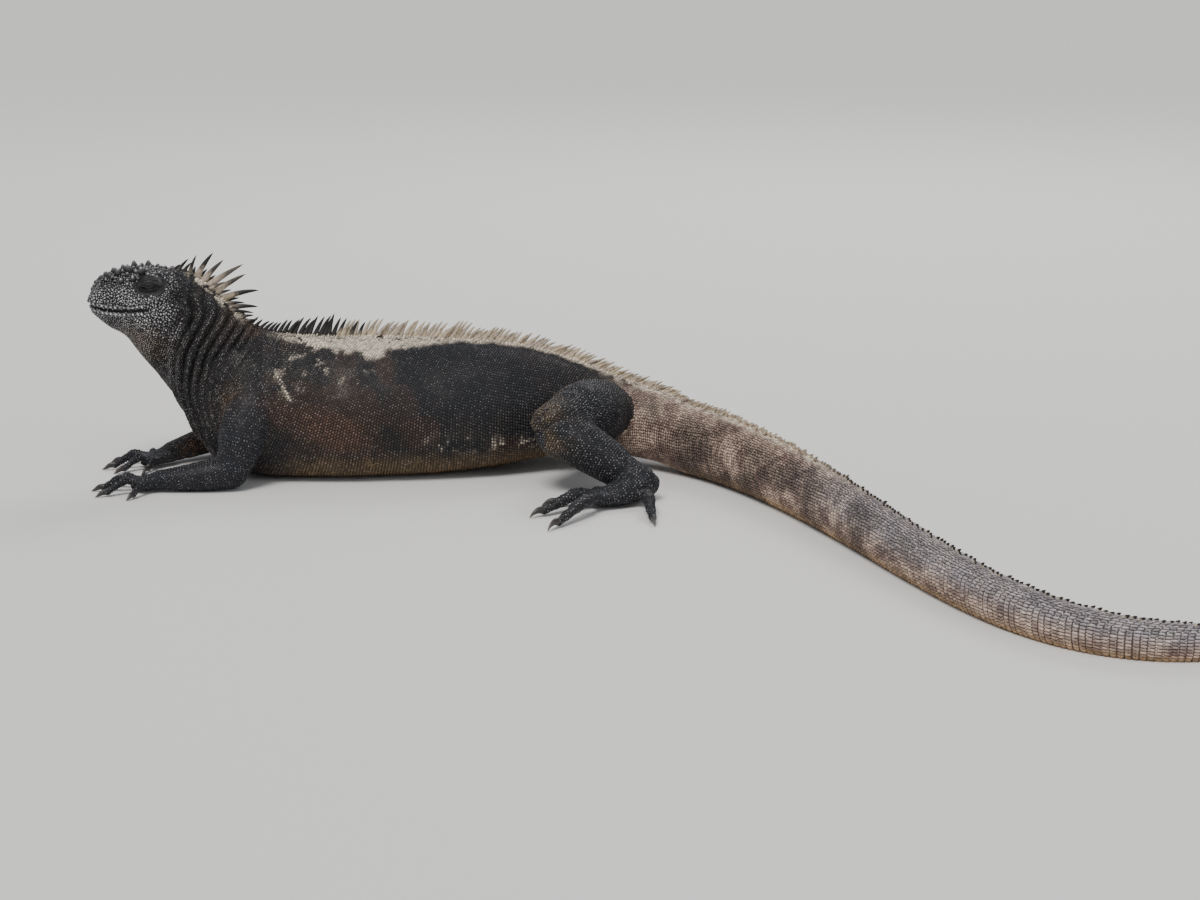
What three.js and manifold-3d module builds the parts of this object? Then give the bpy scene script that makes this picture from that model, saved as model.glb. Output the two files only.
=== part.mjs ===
// A life-size marine iguana lying on a flat floor with its head up and its tail swept to the side.
// Millimetres, +Z up. The head points along -X and the tail along +X. The origin is under the belly, on
// the floor.
import * as THREE from 'three';
import { mergeVertices } from 'three/addons/utils/BufferGeometryUtils.js';
import Module from 'manifold-3d';

const wasm = await Module();
wasm.setup();

// Driving dimensions
const GAP = 0.3; // between neighbouring nodes
const BODY_SIDES = 26;
const TAIL_SIDES = 16;
const LIMB_SIDES = 12;
const DIGIT_SIDES = 6;
const TAIL_START = 170; // distance along the body where the tail formula takes over
const TAIL_TIP = 818;
const TAIL_HEIGHT = 50; // at TAIL_START
const TAIL_TAPER = 0.6; // exponent of the height's fall to the tip
const TAIL_LIFT = 5.2; // how far the tail's underside starts above the floor
const TAIL_TOUCHDOWN = 45; // distance over which it comes down to the floor
const FLOOR_PRESS = 0.9; // how much of a rounded underside the floor flattens

// The plan curve: heading in degrees, 0 along +X, at distances along the body.
const HEADINGS = [
  [-215, 0], [-130, 3], [-60, 6], [60, 7], [100, 5], [125, -2], [150, -14], [180, -33], [215, -48],
  [250, -58], [300, -64], [360, -68], [430, -70], [500, -68], [550, -62], [590, -50], [620, -34],
  [650, -12], [690, 14], [740, 28], [820, 34],
];

// Cross-sections from snout to hips. Each runs from a top point to a bottom point, given as
// [distance along the body, height]. half is the half width, roof and keel the roundness of the upper
// and lower half (2 is an ellipse, more is squarer), and sag lowers the widest level.
const SECTIONS = [
  { top: [-200.2, 121.5], bottom: [-200.2, 111.5], half: 7, roof: 2.2, keel: 2.2, sag: 0 },
  { top: [-198.3, 127.5], bottom: [-197.6, 107.5], half: 12.5, roof: 2.4, keel: 2.3, sag: 0 },
  { top: [-194, 132.5], bottom: [-193, 103], half: 16.5, roof: 2.5, keel: 2.3, sag: 0 },
  { top: [-187, 135.5], bottom: [-187, 98.5], half: 19, roof: 2.5, keel: 2.3, sag: 0.02 },
  { top: [-178, 137], bottom: [-180, 95], half: 21.5, roof: 2.5, keel: 2.3, sag: 0.05 },
  { top: [-169, 138.3], bottom: [-175.5, 91], half: 24, roof: 2.5, keel: 2.2, sag: 0.08 },
  { top: [-159, 138.3], bottom: [-171.5, 85], half: 26.5, roof: 2.5, keel: 2.1, sag: 0.12 },
  { top: [-149, 137.6], bottom: [-167.5, 79.5], half: 28.5, roof: 2.4, keel: 2.1, sag: 0.14 },
  { top: [-140, 136.6], bottom: [-163.5, 74], half: 28.5, roof: 2.3, keel: 2.1, sag: 0.12 },
  { top: [-131.5, 134], bottom: [-159.5, 68.5], half: 25.5, roof: 2.1, keel: 2.1, sag: 0.08 },
  { top: [-123, 129], bottom: [-155, 62], half: 23.5, roof: 2, keel: 2.1, sag: 0.05 },
  { top: [-114.5, 120.5], bottom: [-149.8, 54.5], half: 23.5, roof: 2, keel: 2.1, sag: 0.05 },
  { top: [-106, 111.5], bottom: [-144.8, 45], half: 26, roof: 1.9, keel: 2.1, sag: 0.08 },
  { top: [-97.5, 102.5], bottom: [-139, 34], half: 31, roof: 1.9, keel: 2.2, sag: 0.1 },
  { top: [-87, 96.5], bottom: [-131.5, 22], half: 37, roof: 1.9, keel: 2.2, sag: 0.14 },
  { top: [-75, 94], bottom: [-121, 9.5], half: 42.5, roof: 1.9, keel: 2.2, sag: 0.18 },
  { top: [-58, 92.5], bottom: [-99, 0.5], half: 45.5, roof: 1.9, keel: 2.3, sag: 0.22 },
  { top: [-35, 91.3], bottom: [-62, -1.4], half: 47, roof: 1.9, keel: 2.4, sag: 0.25 },
  { top: [-5, 91], bottom: [-20, -1.6], half: 50, roof: 1.9, keel: 2.4, sag: 0.27 },
  { top: [28, 88.5], bottom: [22, -1], half: 50.5, roof: 1.9, keel: 2.4, sag: 0.27 },
  { top: [60, 86], bottom: [58, 1.5], half: 47.5, roof: 1.9, keel: 2.4, sag: 0.25 },
  { top: [90, 81], bottom: [88, 5], half: 41.5, roof: 1.9, keel: 2.3, sag: 0.2 },
  { top: [114, 73.5], bottom: [111, 7.5], half: 36, roof: 1.9, keel: 2.2, sag: 0.14 },
  { top: [135, 66], bottom: [132, 8.2], half: 31, roof: 1.9, keel: 2.2, sag: 0.08 },
  { top: [153, 59.5], bottom: [151, 7.2], half: 27, roof: 1.9, keel: 2.2, sag: 0.03 },
  { top: [TAIL_START, 55.2], bottom: [TAIL_START, 5.2], half: 24, roof: 1.9, keel: 2.2, sag: 0 },
];
const HIP_U = SECTIONS.length - 1; // body parameter at the tail formula's start
const MM_PER_U = 20; // beyond HIP_U, one unit of the body parameter is this many millimetres

// Where the body is parted, as body parameters. Whole numbers are sections; past HIP_U, see MM_PER_U.
const alongTail = (distance) => HIP_U + (distance - TAIL_START) / MM_PER_U;
const LENGTHS = [
  { name: 'head', from: 0, to: 9.3, rings: 18, sides: BODY_SIDES, roundStart: true },
  { name: 'neck', from: 9.3, to: 14.2, rings: 8, sides: BODY_SIDES },
  { name: 'torso', from: 14.2, to: 24.3, rings: 15, sides: BODY_SIDES },
  { name: 'tail_1', from: 24.3, to: alongTail(225), rings: 6, sides: TAIL_SIDES },
  { name: 'tail_2', from: alongTail(225), to: alongTail(315), rings: 6, sides: TAIL_SIDES },
  { name: 'tail_3', from: alongTail(315), to: alongTail(425), rings: 5, sides: TAIL_SIDES },
  { name: 'tail_4', from: alongTail(425), to: alongTail(535), rings: 5, sides: TAIL_SIDES },
  { name: 'tail_5', from: alongTail(535), to: alongTail(615), rings: 5, sides: TAIL_SIDES },
  { name: 'tail_6', from: alongTail(615), to: alongTail(695), rings: 6, sides: TAIL_SIDES },
  {
    name: 'tail_7', from: alongTail(695), to: alongTail(TAIL_TIP), rings: 7, sides: TAIL_SIDES,
    roundEnd: true,
  },
];

// Crest spines on the nape: lengths from the crown back, with the first and last direction in degrees
// above the backward horizontal.
const NAPE = {
  from: 8.95, to: 13.6, lengths: [9, 12, 15, 21, 22, 28, 25, 26, 13, 20, 14, 9],
  steep: 84, flat: 24, base: 5.6, thick: 3.6,
};
// Crest spines on the back and tail: [distance along the body, length, spacing, lean in degrees].
const CREST = [
  [-83, 8, 5.6, 20], [-70, 12.5, 5.8, 16], [-45, 13, 5.9, 14], [-28, 8.5, 6, 18], [-10, 13.5, 6, 20],
  [40, 13, 6.2, 24], [100, 12, 6.6, 28], [150, 10.5, 7, 32], [200, 8, 7.8, 38], [300, 5.6, 9, 42],
  [450, 4.6, 10.5, 42], [600, 4, 11.5, 42], [TAIL_TIP - 18, 2.2, 11.5, 42],
];
const CREST_BASE = 3.6; // along the body, at the root of a full-length spine
const CREST_THICK = 2.4;
const CREST_SHIFT = 1; // spread of the roots to the sides of the middle line

const EYE = { along: -158.5, side: 20.6, height: 130.6, radius: 7 };
const LID = { halfLength: 9.6, halfHeight: 6.3, thick: 2.3 };
const NOSTRIL = { along: -187.5, side: 15.5, height: 130, radius: 2.3 };
const EAR = { along: -141.5, side: 28.5, height: 121, radius: 5.2, depth: 1.5 };
const MOUTH = [ // the closed lips' line: [distance along the body, height]
  [-201.5, 115.2], [-196, 114.4], [-186, 113.2], [-176, 113.6], [-166, 115], [-156, 116.6],
];
const LIP_RADIUS = 2;
const MOUTH_GROOVE = 1.1;

// Horny pyramids on the crown: rows across the head at these distances, with their size in the middle.
const CROWN = { from: -193, to: -136, rows: 8, across: 6, spread: 62, base: 4.6, height: 4.4 };

const LEFT = -1;
const RIGHT = 1;

// Limbs: joints as [x, y, z], with the radii [across, up] at each.
const ARMS = {
  left: {
    upper: {
      joints: [[-86, -24, 64], [-92, -42, 51], [-98, -55, 32], [-104, -62, 14]],
      radii: [[19, 15], [18, 14], [15.5, 13], [12, 11.5]], side: [1, 0, 0],
    },
    lower: {
      joints: [[-104, -62, 12.5], [-119, -64, 10.5], [-137, -65.5, 8.6], [-152, -66, 7.4]],
      radii: [[11.5, 11.5], [11, 10.2], [9, 8.2], [7.4, 6.6]], side: [0, 1, 0],
    },
    palm: {
      joints: [[-150, -66, 7.2], [-158, -66.5, 6.2], [-166, -67, 5.6]],
      radii: [[7.6, 6.2], [9.6, 5.2], [9, 4.2]],
    },
    heading: 183, // of the third finger, in degrees from +X
  },
  right: {
    upper: {
      joints: [[-86, 24, 64], [-95, 34, 50], [-107, 40, 33], [-116, 41, 18]],
      radii: [[19, 15], [17, 14], [14.5, 12.5], [11.5, 11]], side: [1, 0, 0],
    },
    lower: {
      joints: [[-116, 41, 17], [-130, 30, 14], [-146, 16, 10.5], [-158, 5, 8]],
      radii: [[11.5, 11], [10.5, 10], [8.6, 8], [7.2, 6.6]], side: [0.7, 0.7, 0],
    },
    palm: {
      joints: [[-157, 6, 7.4], [-164, 0, 6.2], [-172, -5, 5.6]],
      radii: [[7.6, 6.2], [9.6, 5.2], [9, 4.2]],
    },
    heading: 192,
  },
};
const LEGS = {
  left: {
    upper: {
      joints: [[140, 0, 38], [133, -22, 42], [121, -46, 44.5], [109, -64, 43.5]],
      radii: [[20, 20], [21.5, 22], [20.5, 21.5], [18.5, 19.5]], side: [1, 0, 0],
    },
    lower: {
      joints: [[110, -66, 40], [126, -73, 31], [146, -81, 20], [162, -87, 13]],
      radii: [[17.5, 18], [16.5, 15.5], [13.2, 13], [10.8, 11]], side: [0.3, 1, 0],
    },
    palm: {
      joints: [[164, -87, 11.5], [158, -95, 10], [146, -102, 8], [134, -107, 6]],
      radii: [[10.5, 10.6], [11.5, 9], [12, 6.6], [11.5, 4.8]],
    },
    heading: 212,
  },
  right: {
    upper: {
      joints: [[140, 22, 38], [133, 44, 38], [121, 66, 37], [108, 84, 34]],
      radii: [[20, 20], [21, 20.5], [19.5, 19], [17.5, 17.5]], side: [1, 0, 0],
    },
    lower: {
      joints: [[109, 86, 32], [124, 94, 26], [142, 103, 18], [156, 110, 12.5]],
      radii: [[17, 17], [15.5, 15], [13, 12.5], [10.8, 10.8]], side: [0.4, 1, 0],
    },
    palm: {
      joints: [[158, 110, 11.2], [151, 117, 9.6], [140, 122, 7.6], [128, 125, 5.8]],
      radii: [[10.5, 10.4], [11.5, 8.8], [12, 6.4], [11.5, 4.8]],
    },
    heading: 168,
  },
};
// Digits from the first (inner) to the fifth (outer): angle from the middle digit's heading, where it
// starts along the palm (0 wrist, 1 front edge) and across it, length, arch height, radii and claw length.
const FINGERS = [
  { angle: 52, start: 0.45, across: 0.75, length: 13, arch: 3.5, root: 3.2, tip: 2.3, claw: 7 },
  { angle: 24, start: 0.85, across: 0.5, length: 18, arch: 5.5, root: 3.3, tip: 2.3, claw: 8 },
  { angle: 2, start: 0.95, across: 0, length: 21, arch: 6.5, root: 3.4, tip: 2.3, claw: 8.5 },
  { angle: -22, start: 0.85, across: -0.5, length: 20, arch: 6, root: 3.3, tip: 2.3, claw: 8 },
  { angle: -58, start: 0.45, across: -0.75, length: 14, arch: 4, root: 3.1, tip: 2.2, claw: 7 },
];
const TOES = [
  { angle: 46, start: 0.6, across: 0.75, length: 17, arch: 3.5, root: 3.7, tip: 2.5, claw: 8 },
  { angle: 22, start: 0.9, across: 0.5, length: 27, arch: 5, root: 4, tip: 2.6, claw: 9.5 },
  { angle: 0, start: 1, across: 0.1, length: 38, arch: 6, root: 4.3, tip: 2.7, claw: 10.5 },
  { angle: -24, start: 0.95, across: -0.45, length: 50, arch: 6, root: 4.4, tip: 2.7, claw: 11.5 },
  { angle: -64, start: 0.25, across: -0.7, length: 42, arch: 5.5, root: 4.4, tip: 2.5, claw: 10 },
];

const radians = THREE.MathUtils.degToRad;
const lerp = THREE.MathUtils.lerp;
const clamp = THREE.MathUtils.clamp;

// A seeded generator, so that the small variations are the same each time.
function seeded(seed) {
  let state = seed;
  return () => {
    state = (state * 1664525 + 1013904223) % 4294967296;
    return state / 4294967296;
  };
}

// Smooth interpolation in rows [x, value, ...], by cubic Hermite pieces with finite-difference slopes.
function smoothRow(rows, x) {
  const last = rows.length - 1;
  let i = 0;
  while (i < last - 1 && x > rows[i + 1][0]) i += 1;
  const slope = (k, c) => {
    const a = Math.max(k - 1, 0);
    const b = Math.min(k + 1, last);
    return (rows[b][c] - rows[a][c]) / (rows[b][0] - rows[a][0]);
  };
  const width = rows[i + 1][0] - rows[i][0];
  const t = clamp((x - rows[i][0]) / width, 0, 1);
  const h01 = t * t * (3 - 2 * t);
  return rows[i].map((_, c) => (c === 0 ? x
    : (1 - h01) * rows[i][c] + h01 * rows[i + 1][c]
      + width * (t * (1 - t) ** 2 * slope(i, c) - t * t * (1 - t) * slope(i + 1, c))));
}

// The plan curve as a table of [distance, x, y, heading], integrated in short steps from the origin.
const PLAN = (() => {
  const rows = [];
  for (const direction of [-1, 1]) {
    let x = 0;
    let y = 0;
    const end = direction < 0 ? -230 : TAIL_TIP + 30;
    for (let a = 0; direction * a <= direction * end; a += direction) {
      const heading = radians(smoothRow(HEADINGS, clamp(a, HEADINGS[0][0], HEADINGS.at(-1)[0]))[1]);
      if (direction > 0 || a < 0) rows.push([a, x, y, heading]);
      x += direction * Math.cos(heading);
      y += direction * Math.sin(heading);
    }
  }
  return rows.sort((p, q) => p[0] - q[0]);
})();

// Bends a point of the straight body, [distance, side, height], along the plan curve. Side is to the
// animal's right where positive.
function bend([along, side, height]) {
  const place = clamp(along - PLAN[0][0], 0, PLAN.length - 1.001);
  const i = Math.floor(place);
  const f = place - i;
  const [, x, y, heading] = PLAN[i].map((v, c) => lerp(v, PLAN[i + 1][c], f));
  return new THREE.Vector3(x - Math.sin(heading) * side, y + Math.cos(heading) * side, height);
}

const SECTION_ROWS = SECTIONS.map((s, i) => [i, ...s.top, ...s.bottom, s.half, s.roof, s.keel, s.sag]);

// The tail's height and half width at a share t of its length.
const tailHeight = (t) => Math.max(TAIL_HEIGHT * (1 - t) ** TAIL_TAPER, 1.6);
const tailHalf = (t) => (tailHeight(t) / 2) * (0.56 + 0.4 * Math.exp(-t / 0.14));

// The cross-section at body parameter u.
function sectionAt(u) {
  if (u <= HIP_U) {
    const [, ta, tz, ba, bz, half, roof, keel, sag] = smoothRow(SECTION_ROWS, u);
    return { top: [ta, tz], bottom: [ba, bz], half, roof, keel, sag };
  }
  const along = TAIL_START + (u - HIP_U) * MM_PER_U;
  const t = clamp((along - TAIL_START) / (TAIL_TIP - TAIL_START), 0, 0.9985);
  const drop = THREE.MathUtils.smoothstep(along, TAIL_START, TAIL_START + TAIL_TOUCHDOWN);
  const low = lerp(TAIL_LIFT, -FLOOR_PRESS, drop);
  return { top: [along, low + tailHeight(t)], bottom: [along, low], half: tailHalf(t),
    roof: 1.9, keel: lerp(2.2, 2, drop), sag: 0 };
}

// A point of the straight body's surface at parameter u and angle (0 at the crest, positive to the
// animal's right), moved out by grow.
function surfacePoint(u, angle, grow = 0) {
  const s = sectionAt(u);
  const dx = s.top[0] - s.bottom[0];
  const dz = s.top[1] - s.bottom[1];
  const size = Math.hypot(dx, dz);
  const c = Math.cos(angle);
  const n = Math.sin(angle);
  const power = 2 / (c > 0 ? s.roof : s.keel);
  const up = Math.sign(c) * Math.abs(c) ** power;
  const out = Math.sign(n) * Math.abs(n) ** power;
  const level = 0.5 + up * (0.5 + grow / size) - 0.5 * s.sag * (1 - up * up);
  return [s.bottom[0] + dx * level, out * (s.half + grow), s.bottom[1] + dz * level];
}

// Closes rings of points (arrays of Vector3, each with the same count) into a solid. A fan closes each
// end, and a last ring of a single point makes a pointed end.
function ringsToSolid(rings) {
  const count = rings[0].length;
  const full = rings.filter((ring) => ring.length === count);
  const positions = full.flat().flatMap((p) => [p.x, p.y, p.z]);
  const index = [];
  for (let r = 0; r + 1 < full.length; r += 1) {
    for (let k = 0; k < count; k += 1) {
      const a = r * count + k;
      const b = r * count + ((k + 1) % count);
      index.push(a, b, a + count, b, b + count, a + count);
    }
  }
  const tip = rings.at(-1).length === 1 ? rings.at(-1)[0] : centreOf(rings.at(-1));
  for (const [r, hub, flip] of [[0, centreOf(rings[0]), true], [full.length - 1, tip, false]]) {
    const h = positions.length / 3;
    positions.push(hub.x, hub.y, hub.z);
    for (let k = 0; k < count; k += 1) {
      const a = r * count + k;
      const b = r * count + ((k + 1) % count);
      index.push(h, flip ? b : a, flip ? a : b);
    }
  }
  const geometry = new THREE.BufferGeometry();
  geometry.setAttribute('position', new THREE.Float32BufferAttribute(positions, 3));
  geometry.setIndex(index);
  return solidOf(geometry);
}

const centreOf = (ring) => ring.reduce((sum, p) => sum.add(p), new THREE.Vector3()).divideScalar(ring.length);

// A closed three.js geometry as a manifold solid, turned the right way out.
function solidOf(geometry) {
  const bare = geometry.clone();
  bare.deleteAttribute('normal');
  bare.deleteAttribute('uv');
  const merged = mergeVertices(bare, 1e-4);
  const vertProperties = new Float32Array(merged.attributes.position.array);
  const triVerts = new Uint32Array(merged.index.array);
  const make = () => new wasm.Manifold(new wasm.Mesh({ numProp: 3, vertProperties, triVerts }));
  const made = make();
  if (made.volume() > 0) return made;
  triVerts.reverse();
  return make();
}

// A manifold solid back as a three.js geometry.
function geometryOf(solid) {
  const mesh = solid.getMesh();
  const geometry = new THREE.BufferGeometry();
  geometry.setAttribute('position', new THREE.BufferAttribute(mesh.vertProperties, 3));
  geometry.setIndex(new THREE.BufferAttribute(mesh.triVerts, 1));
  return geometry;
}

const largest = (solid) => solid.decompose().reduce((a, b) => (b.volume() > a.volume() ? b : a));
const joined = (solids) => solids.reduce((a, b) => a.add(b));

// Everything below the floor, to cut the flats that the animal rests on.
const FLOOR = solidOf(new THREE.BoxGeometry(4000, 4000, 200).translate(0, 0, -100));

// One length of the body between two parameters, as rings at even steps.
function bodyLength({ from, to, rings, sides, roundStart, roundEnd }, grow = 0) {
  const centre = (u) => new THREE.Vector2(...middle(u));
  const step = (u) => centre(u + 0.02).distanceTo(centre(u - 0.02)) / 0.04;
  const start = roundStart ? from : from + (GAP / 2 - grow) / step(from + 0.02);
  const end = roundEnd ? to : to - (GAP / 2 - grow) / step(to);
  return ringsToSolid(Array.from({ length: rings + 1 }, (_, r) => {
    const u = lerp(start, end, r / rings);
    return Array.from({ length: sides }, (__, k) => bend(surfacePoint(u, (k / sides) * 2 * Math.PI, grow)));
  }));
}

// The centre of the cross-section at parameter u, [distance, height].
function middle(u) {
  const s = sectionAt(u);
  return [(s.top[0] + s.bottom[0]) / 2, (s.top[1] + s.bottom[1]) / 2];
}

// The body parameter whose crest lies at this distance along the body.
function crestParameter(along) {
  if (along >= TAIL_START) return alongTail(along);
  let low = 8;
  let high = HIP_U;
  for (let i = 0; i < 40; i += 1) {
    const mid = (low + high) / 2;
    if (surfacePoint(mid, 0)[0] < along) low = mid;
    else high = mid;
  }
  return low;
}

// A crest spine: a flat, four-sided blade that tapers to a point and bends back a little. It stands on
// the crest at parameter u, points steep degrees above the backward horizontal, and is sunk at its root.
// shift moves it off the middle line.
function spine(u, length, steep, base, thick, shift) {
  const root = surfacePoint(u, 0);
  const sink = Math.min(2.6, 1 + length * 0.12);
  const rings = [[-sink, 1, 0], [length * 0.5, 0.7, 5], [length, 0, 15]].map(([reach, share, turn]) => {
    const a = radians(steep - turn);
    const centre = [root[0] + Math.cos(a) * reach, root[1], root[2] + Math.sin(a) * reach];
    const along = [-Math.sin(a), Math.cos(a)].map((v) => v * (base / 2) * share);
    const side = (thick / 2) * share;
    const corners = share > 0 ? [[1, 0], [0, 1], [-1, 0], [0, -1]] : [[0, 0]];
    return corners.map(([p, q]) => bend([
      centre[0] + along[0] * p, shift * (2 - share) + side * q, centre[2] + along[1] * p]));
  });
  return ringsToSolid(rings);
}

// All crest spines: the body parameter each stands on, its length, direction, base, thickness and shift.
function crestSpines() {
  const random = seeded(11);
  const shift = () => (random() - 0.5) * CREST_SHIFT;
  const spines = NAPE.lengths.map((length, i) => {
    const f = i / (NAPE.lengths.length - 1);
    const share = clamp(length / 20, 0.6, 1);
    return [lerp(NAPE.from, NAPE.to, f), length, lerp(NAPE.steep, NAPE.flat, f ** 0.9),
      NAPE.base * share, NAPE.thick * share, shift()];
  });
  let along = CREST[0][0];
  while (along < CREST.at(-1)[0]) {
    const [, length, pitch, lean] = smoothRow(CREST, along);
    const u = crestParameter(along);
    const [before, after] = [surfacePoint(u - 0.1, 0), surfacePoint(u + 0.1, 0)];
    const slope = Math.atan2(after[2] - before[2], after[0] - before[0]);
    const share = clamp(length / 12, 0.5, 1);
    const steep = 90 - lean + THREE.MathUtils.radToDeg(slope) + (random() - 0.5) * 8;
    const grown = length * (0.86 + 0.28 * random());
    spines.push([u, grown, steep, CREST_BASE * share, CREST_THICK * share, shift()]);
    along += pitch;
  }
  return spines;
}

// A tube through 3-D joints with an elliptical section [across, up] at each, closed by rounded or flat
// ends.
function tube(joints, radii, options) {
  const { side, sides = LIMB_SIDES, rings = 5, grow = 0, roundEnd = true } = options;
  const curve = new THREE.CatmullRomCurve3(joints.map((p) => new THREE.Vector3(...p)));
  const rows = radii.map((r, i) => [i / (radii.length - 1), ...r]);
  const across = new THREE.Vector3(...side);
  const ring = (t, push, scale) => {
    const tangent = curve.getTangent(t);
    const a = across.clone().addScaledVector(tangent, -across.dot(tangent)).normalize();
    const b = new THREE.Vector3().crossVectors(a, tangent);
    const [, ra, rb] = smoothRow(rows, t);
    const centre = curve.getPoint(t).addScaledVector(tangent, push * (Math.min(ra, rb) + grow));
    return Array.from({ length: sides }, (_, k) => {
      const angle = (k / sides) * 2 * Math.PI;
      return centre.clone().addScaledVector(a, Math.cos(angle) * (ra + grow) * scale)
        .addScaledVector(b, Math.sin(angle) * (rb + grow) * scale);
    });
  };
  const caps = [[0.8, 0.6]];
  const list = caps.map(([push, scale]) => ring(0, -push, scale));
  for (let r = 0; r <= rings; r += 1) list.push(ring(r / rings, 0, 1));
  if (roundEnd) caps.reverse().forEach(([push, scale]) => list.push(ring(1, push, scale)));
  return ringsToSolid(list);
}

// One digit of a hand or foot with its claw, both as solids. flip is -1 on the left and 1 on the right.
function digit(limb, d, flip) {
  const palm = new THREE.CatmullRomCurve3(limb.palm.joints.map((p) => new THREE.Vector3(...p)));
  const heading = radians(limb.heading + flip * d.angle);
  const forward = new THREE.Vector3(Math.cos(heading), Math.sin(heading), 0);
  const main = radians(limb.heading);
  const inner = new THREE.Vector3(Math.sin(main), -Math.cos(main), 0).multiplyScalar(-flip);
  const root = palm.getPoint(d.start).addScaledVector(inner, d.across * limb.palm.radii.at(-1)[0]);
  root.z = Math.min(root.z, d.root + 2);
  const tipHeight = d.tip * 1.35;
  const at = (reach, height) => (
    root.clone().addScaledVector(forward, d.length * reach).setZ(height).toArray());
  const joints = [at(-0.12, root.z), at(0.25, root.z + d.arch * 0.55), at(0.5, root.z + d.arch * 0.6),
    at(0.78, lerp(root.z, tipHeight, 0.7) + d.arch * 0.3), at(1, tipHeight)];
  const swell = [d.root, d.root * 0.92, d.root, lerp(d.root, d.tip, 0.6), d.tip];
  const side = [-forward.y, forward.x, 0];
  const round = swell.map((r) => [r, r]);
  const flesh = tube(joints, round, { side, sides: DIGIT_SIDES, rings: 5, roundEnd: false });
  const curve = new THREE.CatmullRomCurve3(joints.map((p) => new THREE.Vector3(...p)));
  const dip = curve.getTangent(1).z;
  const clawAt = (reach, drop) => [...new THREE.Vector3(...joints[4]).addScaledVector(forward, reach)
    .setZ(Math.max(tipHeight + dip * reach - drop, 0.35)).toArray()];
  const c = d.claw;
  const clawJoints = [
    clawAt(GAP, 0), clawAt(c * 0.4, -c * 0.14), clawAt(c * 0.75, -c * 0.06), clawAt(c, c * 0.12),
  ];
  const clawRadii = [0.86, 0.7, 0.42, 0.12].map((s) => s * d.tip);
  const nail = clawRings(clawJoints, clawRadii, side, curve.getTangent(1));
  return { flesh, nail };
}

// A claw: a narrow tapering horn through four joints, higher than it is wide. Its first ring is square
// to the digit that it grows from.
function clawRings(joints, radii, side, rootTangent) {
  const points = joints.map((p) => new THREE.Vector3(...p));
  const curve = new THREE.CatmullRomCurve3(points);
  const across = new THREE.Vector3(...side);
  return ringsToSolid([0, 0.3, 0.62, 1].map((t, i) => {
    const tangent = i === 0 ? rootTangent : curve.getTangent(t);
    const up = new THREE.Vector3().crossVectors(tangent, across).normalize();
    if (up.z < 0) up.negate();
    return Array.from({ length: 5 }, (_, k) => {
      const angle = (k / 5 + 0.25) * 2 * Math.PI;
      return curve.getPoint(t).addScaledVector(across, Math.cos(angle) * radii[i] * 0.8)
        .addScaledVector(up, Math.sin(angle) * radii[i] * 1.05);
    });
  }));
}

// A limb's upper and lower length, its foot and its claws. Each is cut clear of the one it grows from.
function limbSolids(limb, digits, flip, trunk) {
  const lengthOf = (part, grow) => tube(part.joints, part.radii, { side: part.side, grow });
  const upper = lengthOf(limb.upper, 0).subtract(trunk);
  const lower = lengthOf(limb.lower, 0).subtract(lengthOf(limb.upper, GAP)).subtract(trunk);
  const main = radians(limb.heading);
  const across = [-Math.sin(main), Math.cos(main), 0];
  const palm = tube(limb.palm.joints, limb.palm.radii, { side: across, rings: 5 });
  const made = digits.map((d) => digit(limb, d, flip));
  const foot = joined([palm, ...made.map((m) => m.flesh)]).subtract(lengthOf(limb.lower, GAP));
  return { upper, lower, foot, claws: made.map((m) => m.nail) };
}

// The mouth line as points on both sides of the head, from the left corner round the snout to the right.
function mouthPath(outward) {
  const left = [];
  for (let i = 0; i <= 7; i += 1) {
    const along = lerp(MOUTH.at(-1)[0], -199, i / 7);
    const height = smoothRow(MOUTH, along)[1];
    left.push([along, -(headHalfAt(along, height) + outward), height]);
  }
  const front = [[-200.6 - outward, -3.5, 115], [-200.6 - outward, 3.5, 115]];
  const right = left.map(([a, s, h]) => [a, -s, h]).reverse();
  return [...left, ...front, ...right].map((p) => bend(p));
}

// Half width of the head's surface at a distance and height, found among its cross-sections.
function headHalfAt(along, height) {
  let best = 0;
  let miss = Infinity;
  for (let u = 0; u <= 10; u += 0.1) {
    for (let angle = 0.3; angle < 2.8; angle += 0.05) {
      const [a, s, h] = surfacePoint(u, angle);
      const d = Math.hypot(a - along, h - height);
      if (d < miss) [miss, best] = [d, s];
    }
  }
  return best;
}

// A thin round bar along a path of points.
function bar(points, radius, sides) {
  const curve = new THREE.CatmullRomCurve3(points);
  const steps = points.length;
  return ringsToSolid(Array.from({ length: steps + 1 }, (_, i) => {
    const t = i / steps;
    const tangent = curve.getTangent(t);
    const across = new THREE.Vector3(0, 0, 1).cross(tangent).normalize();
    const up = new THREE.Vector3().crossVectors(tangent, across);
    const taper = radius * clamp(Math.min(t, 1 - t) * 9, 0.25, 1);
    return Array.from({ length: sides }, (__, k) => {
      const angle = (k / sides) * 2 * Math.PI;
      return curve.getPoint(t).addScaledVector(across, Math.cos(angle) * taper)
        .addScaledVector(up, Math.sin(angle) * taper);
    });
  }));
}

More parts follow.
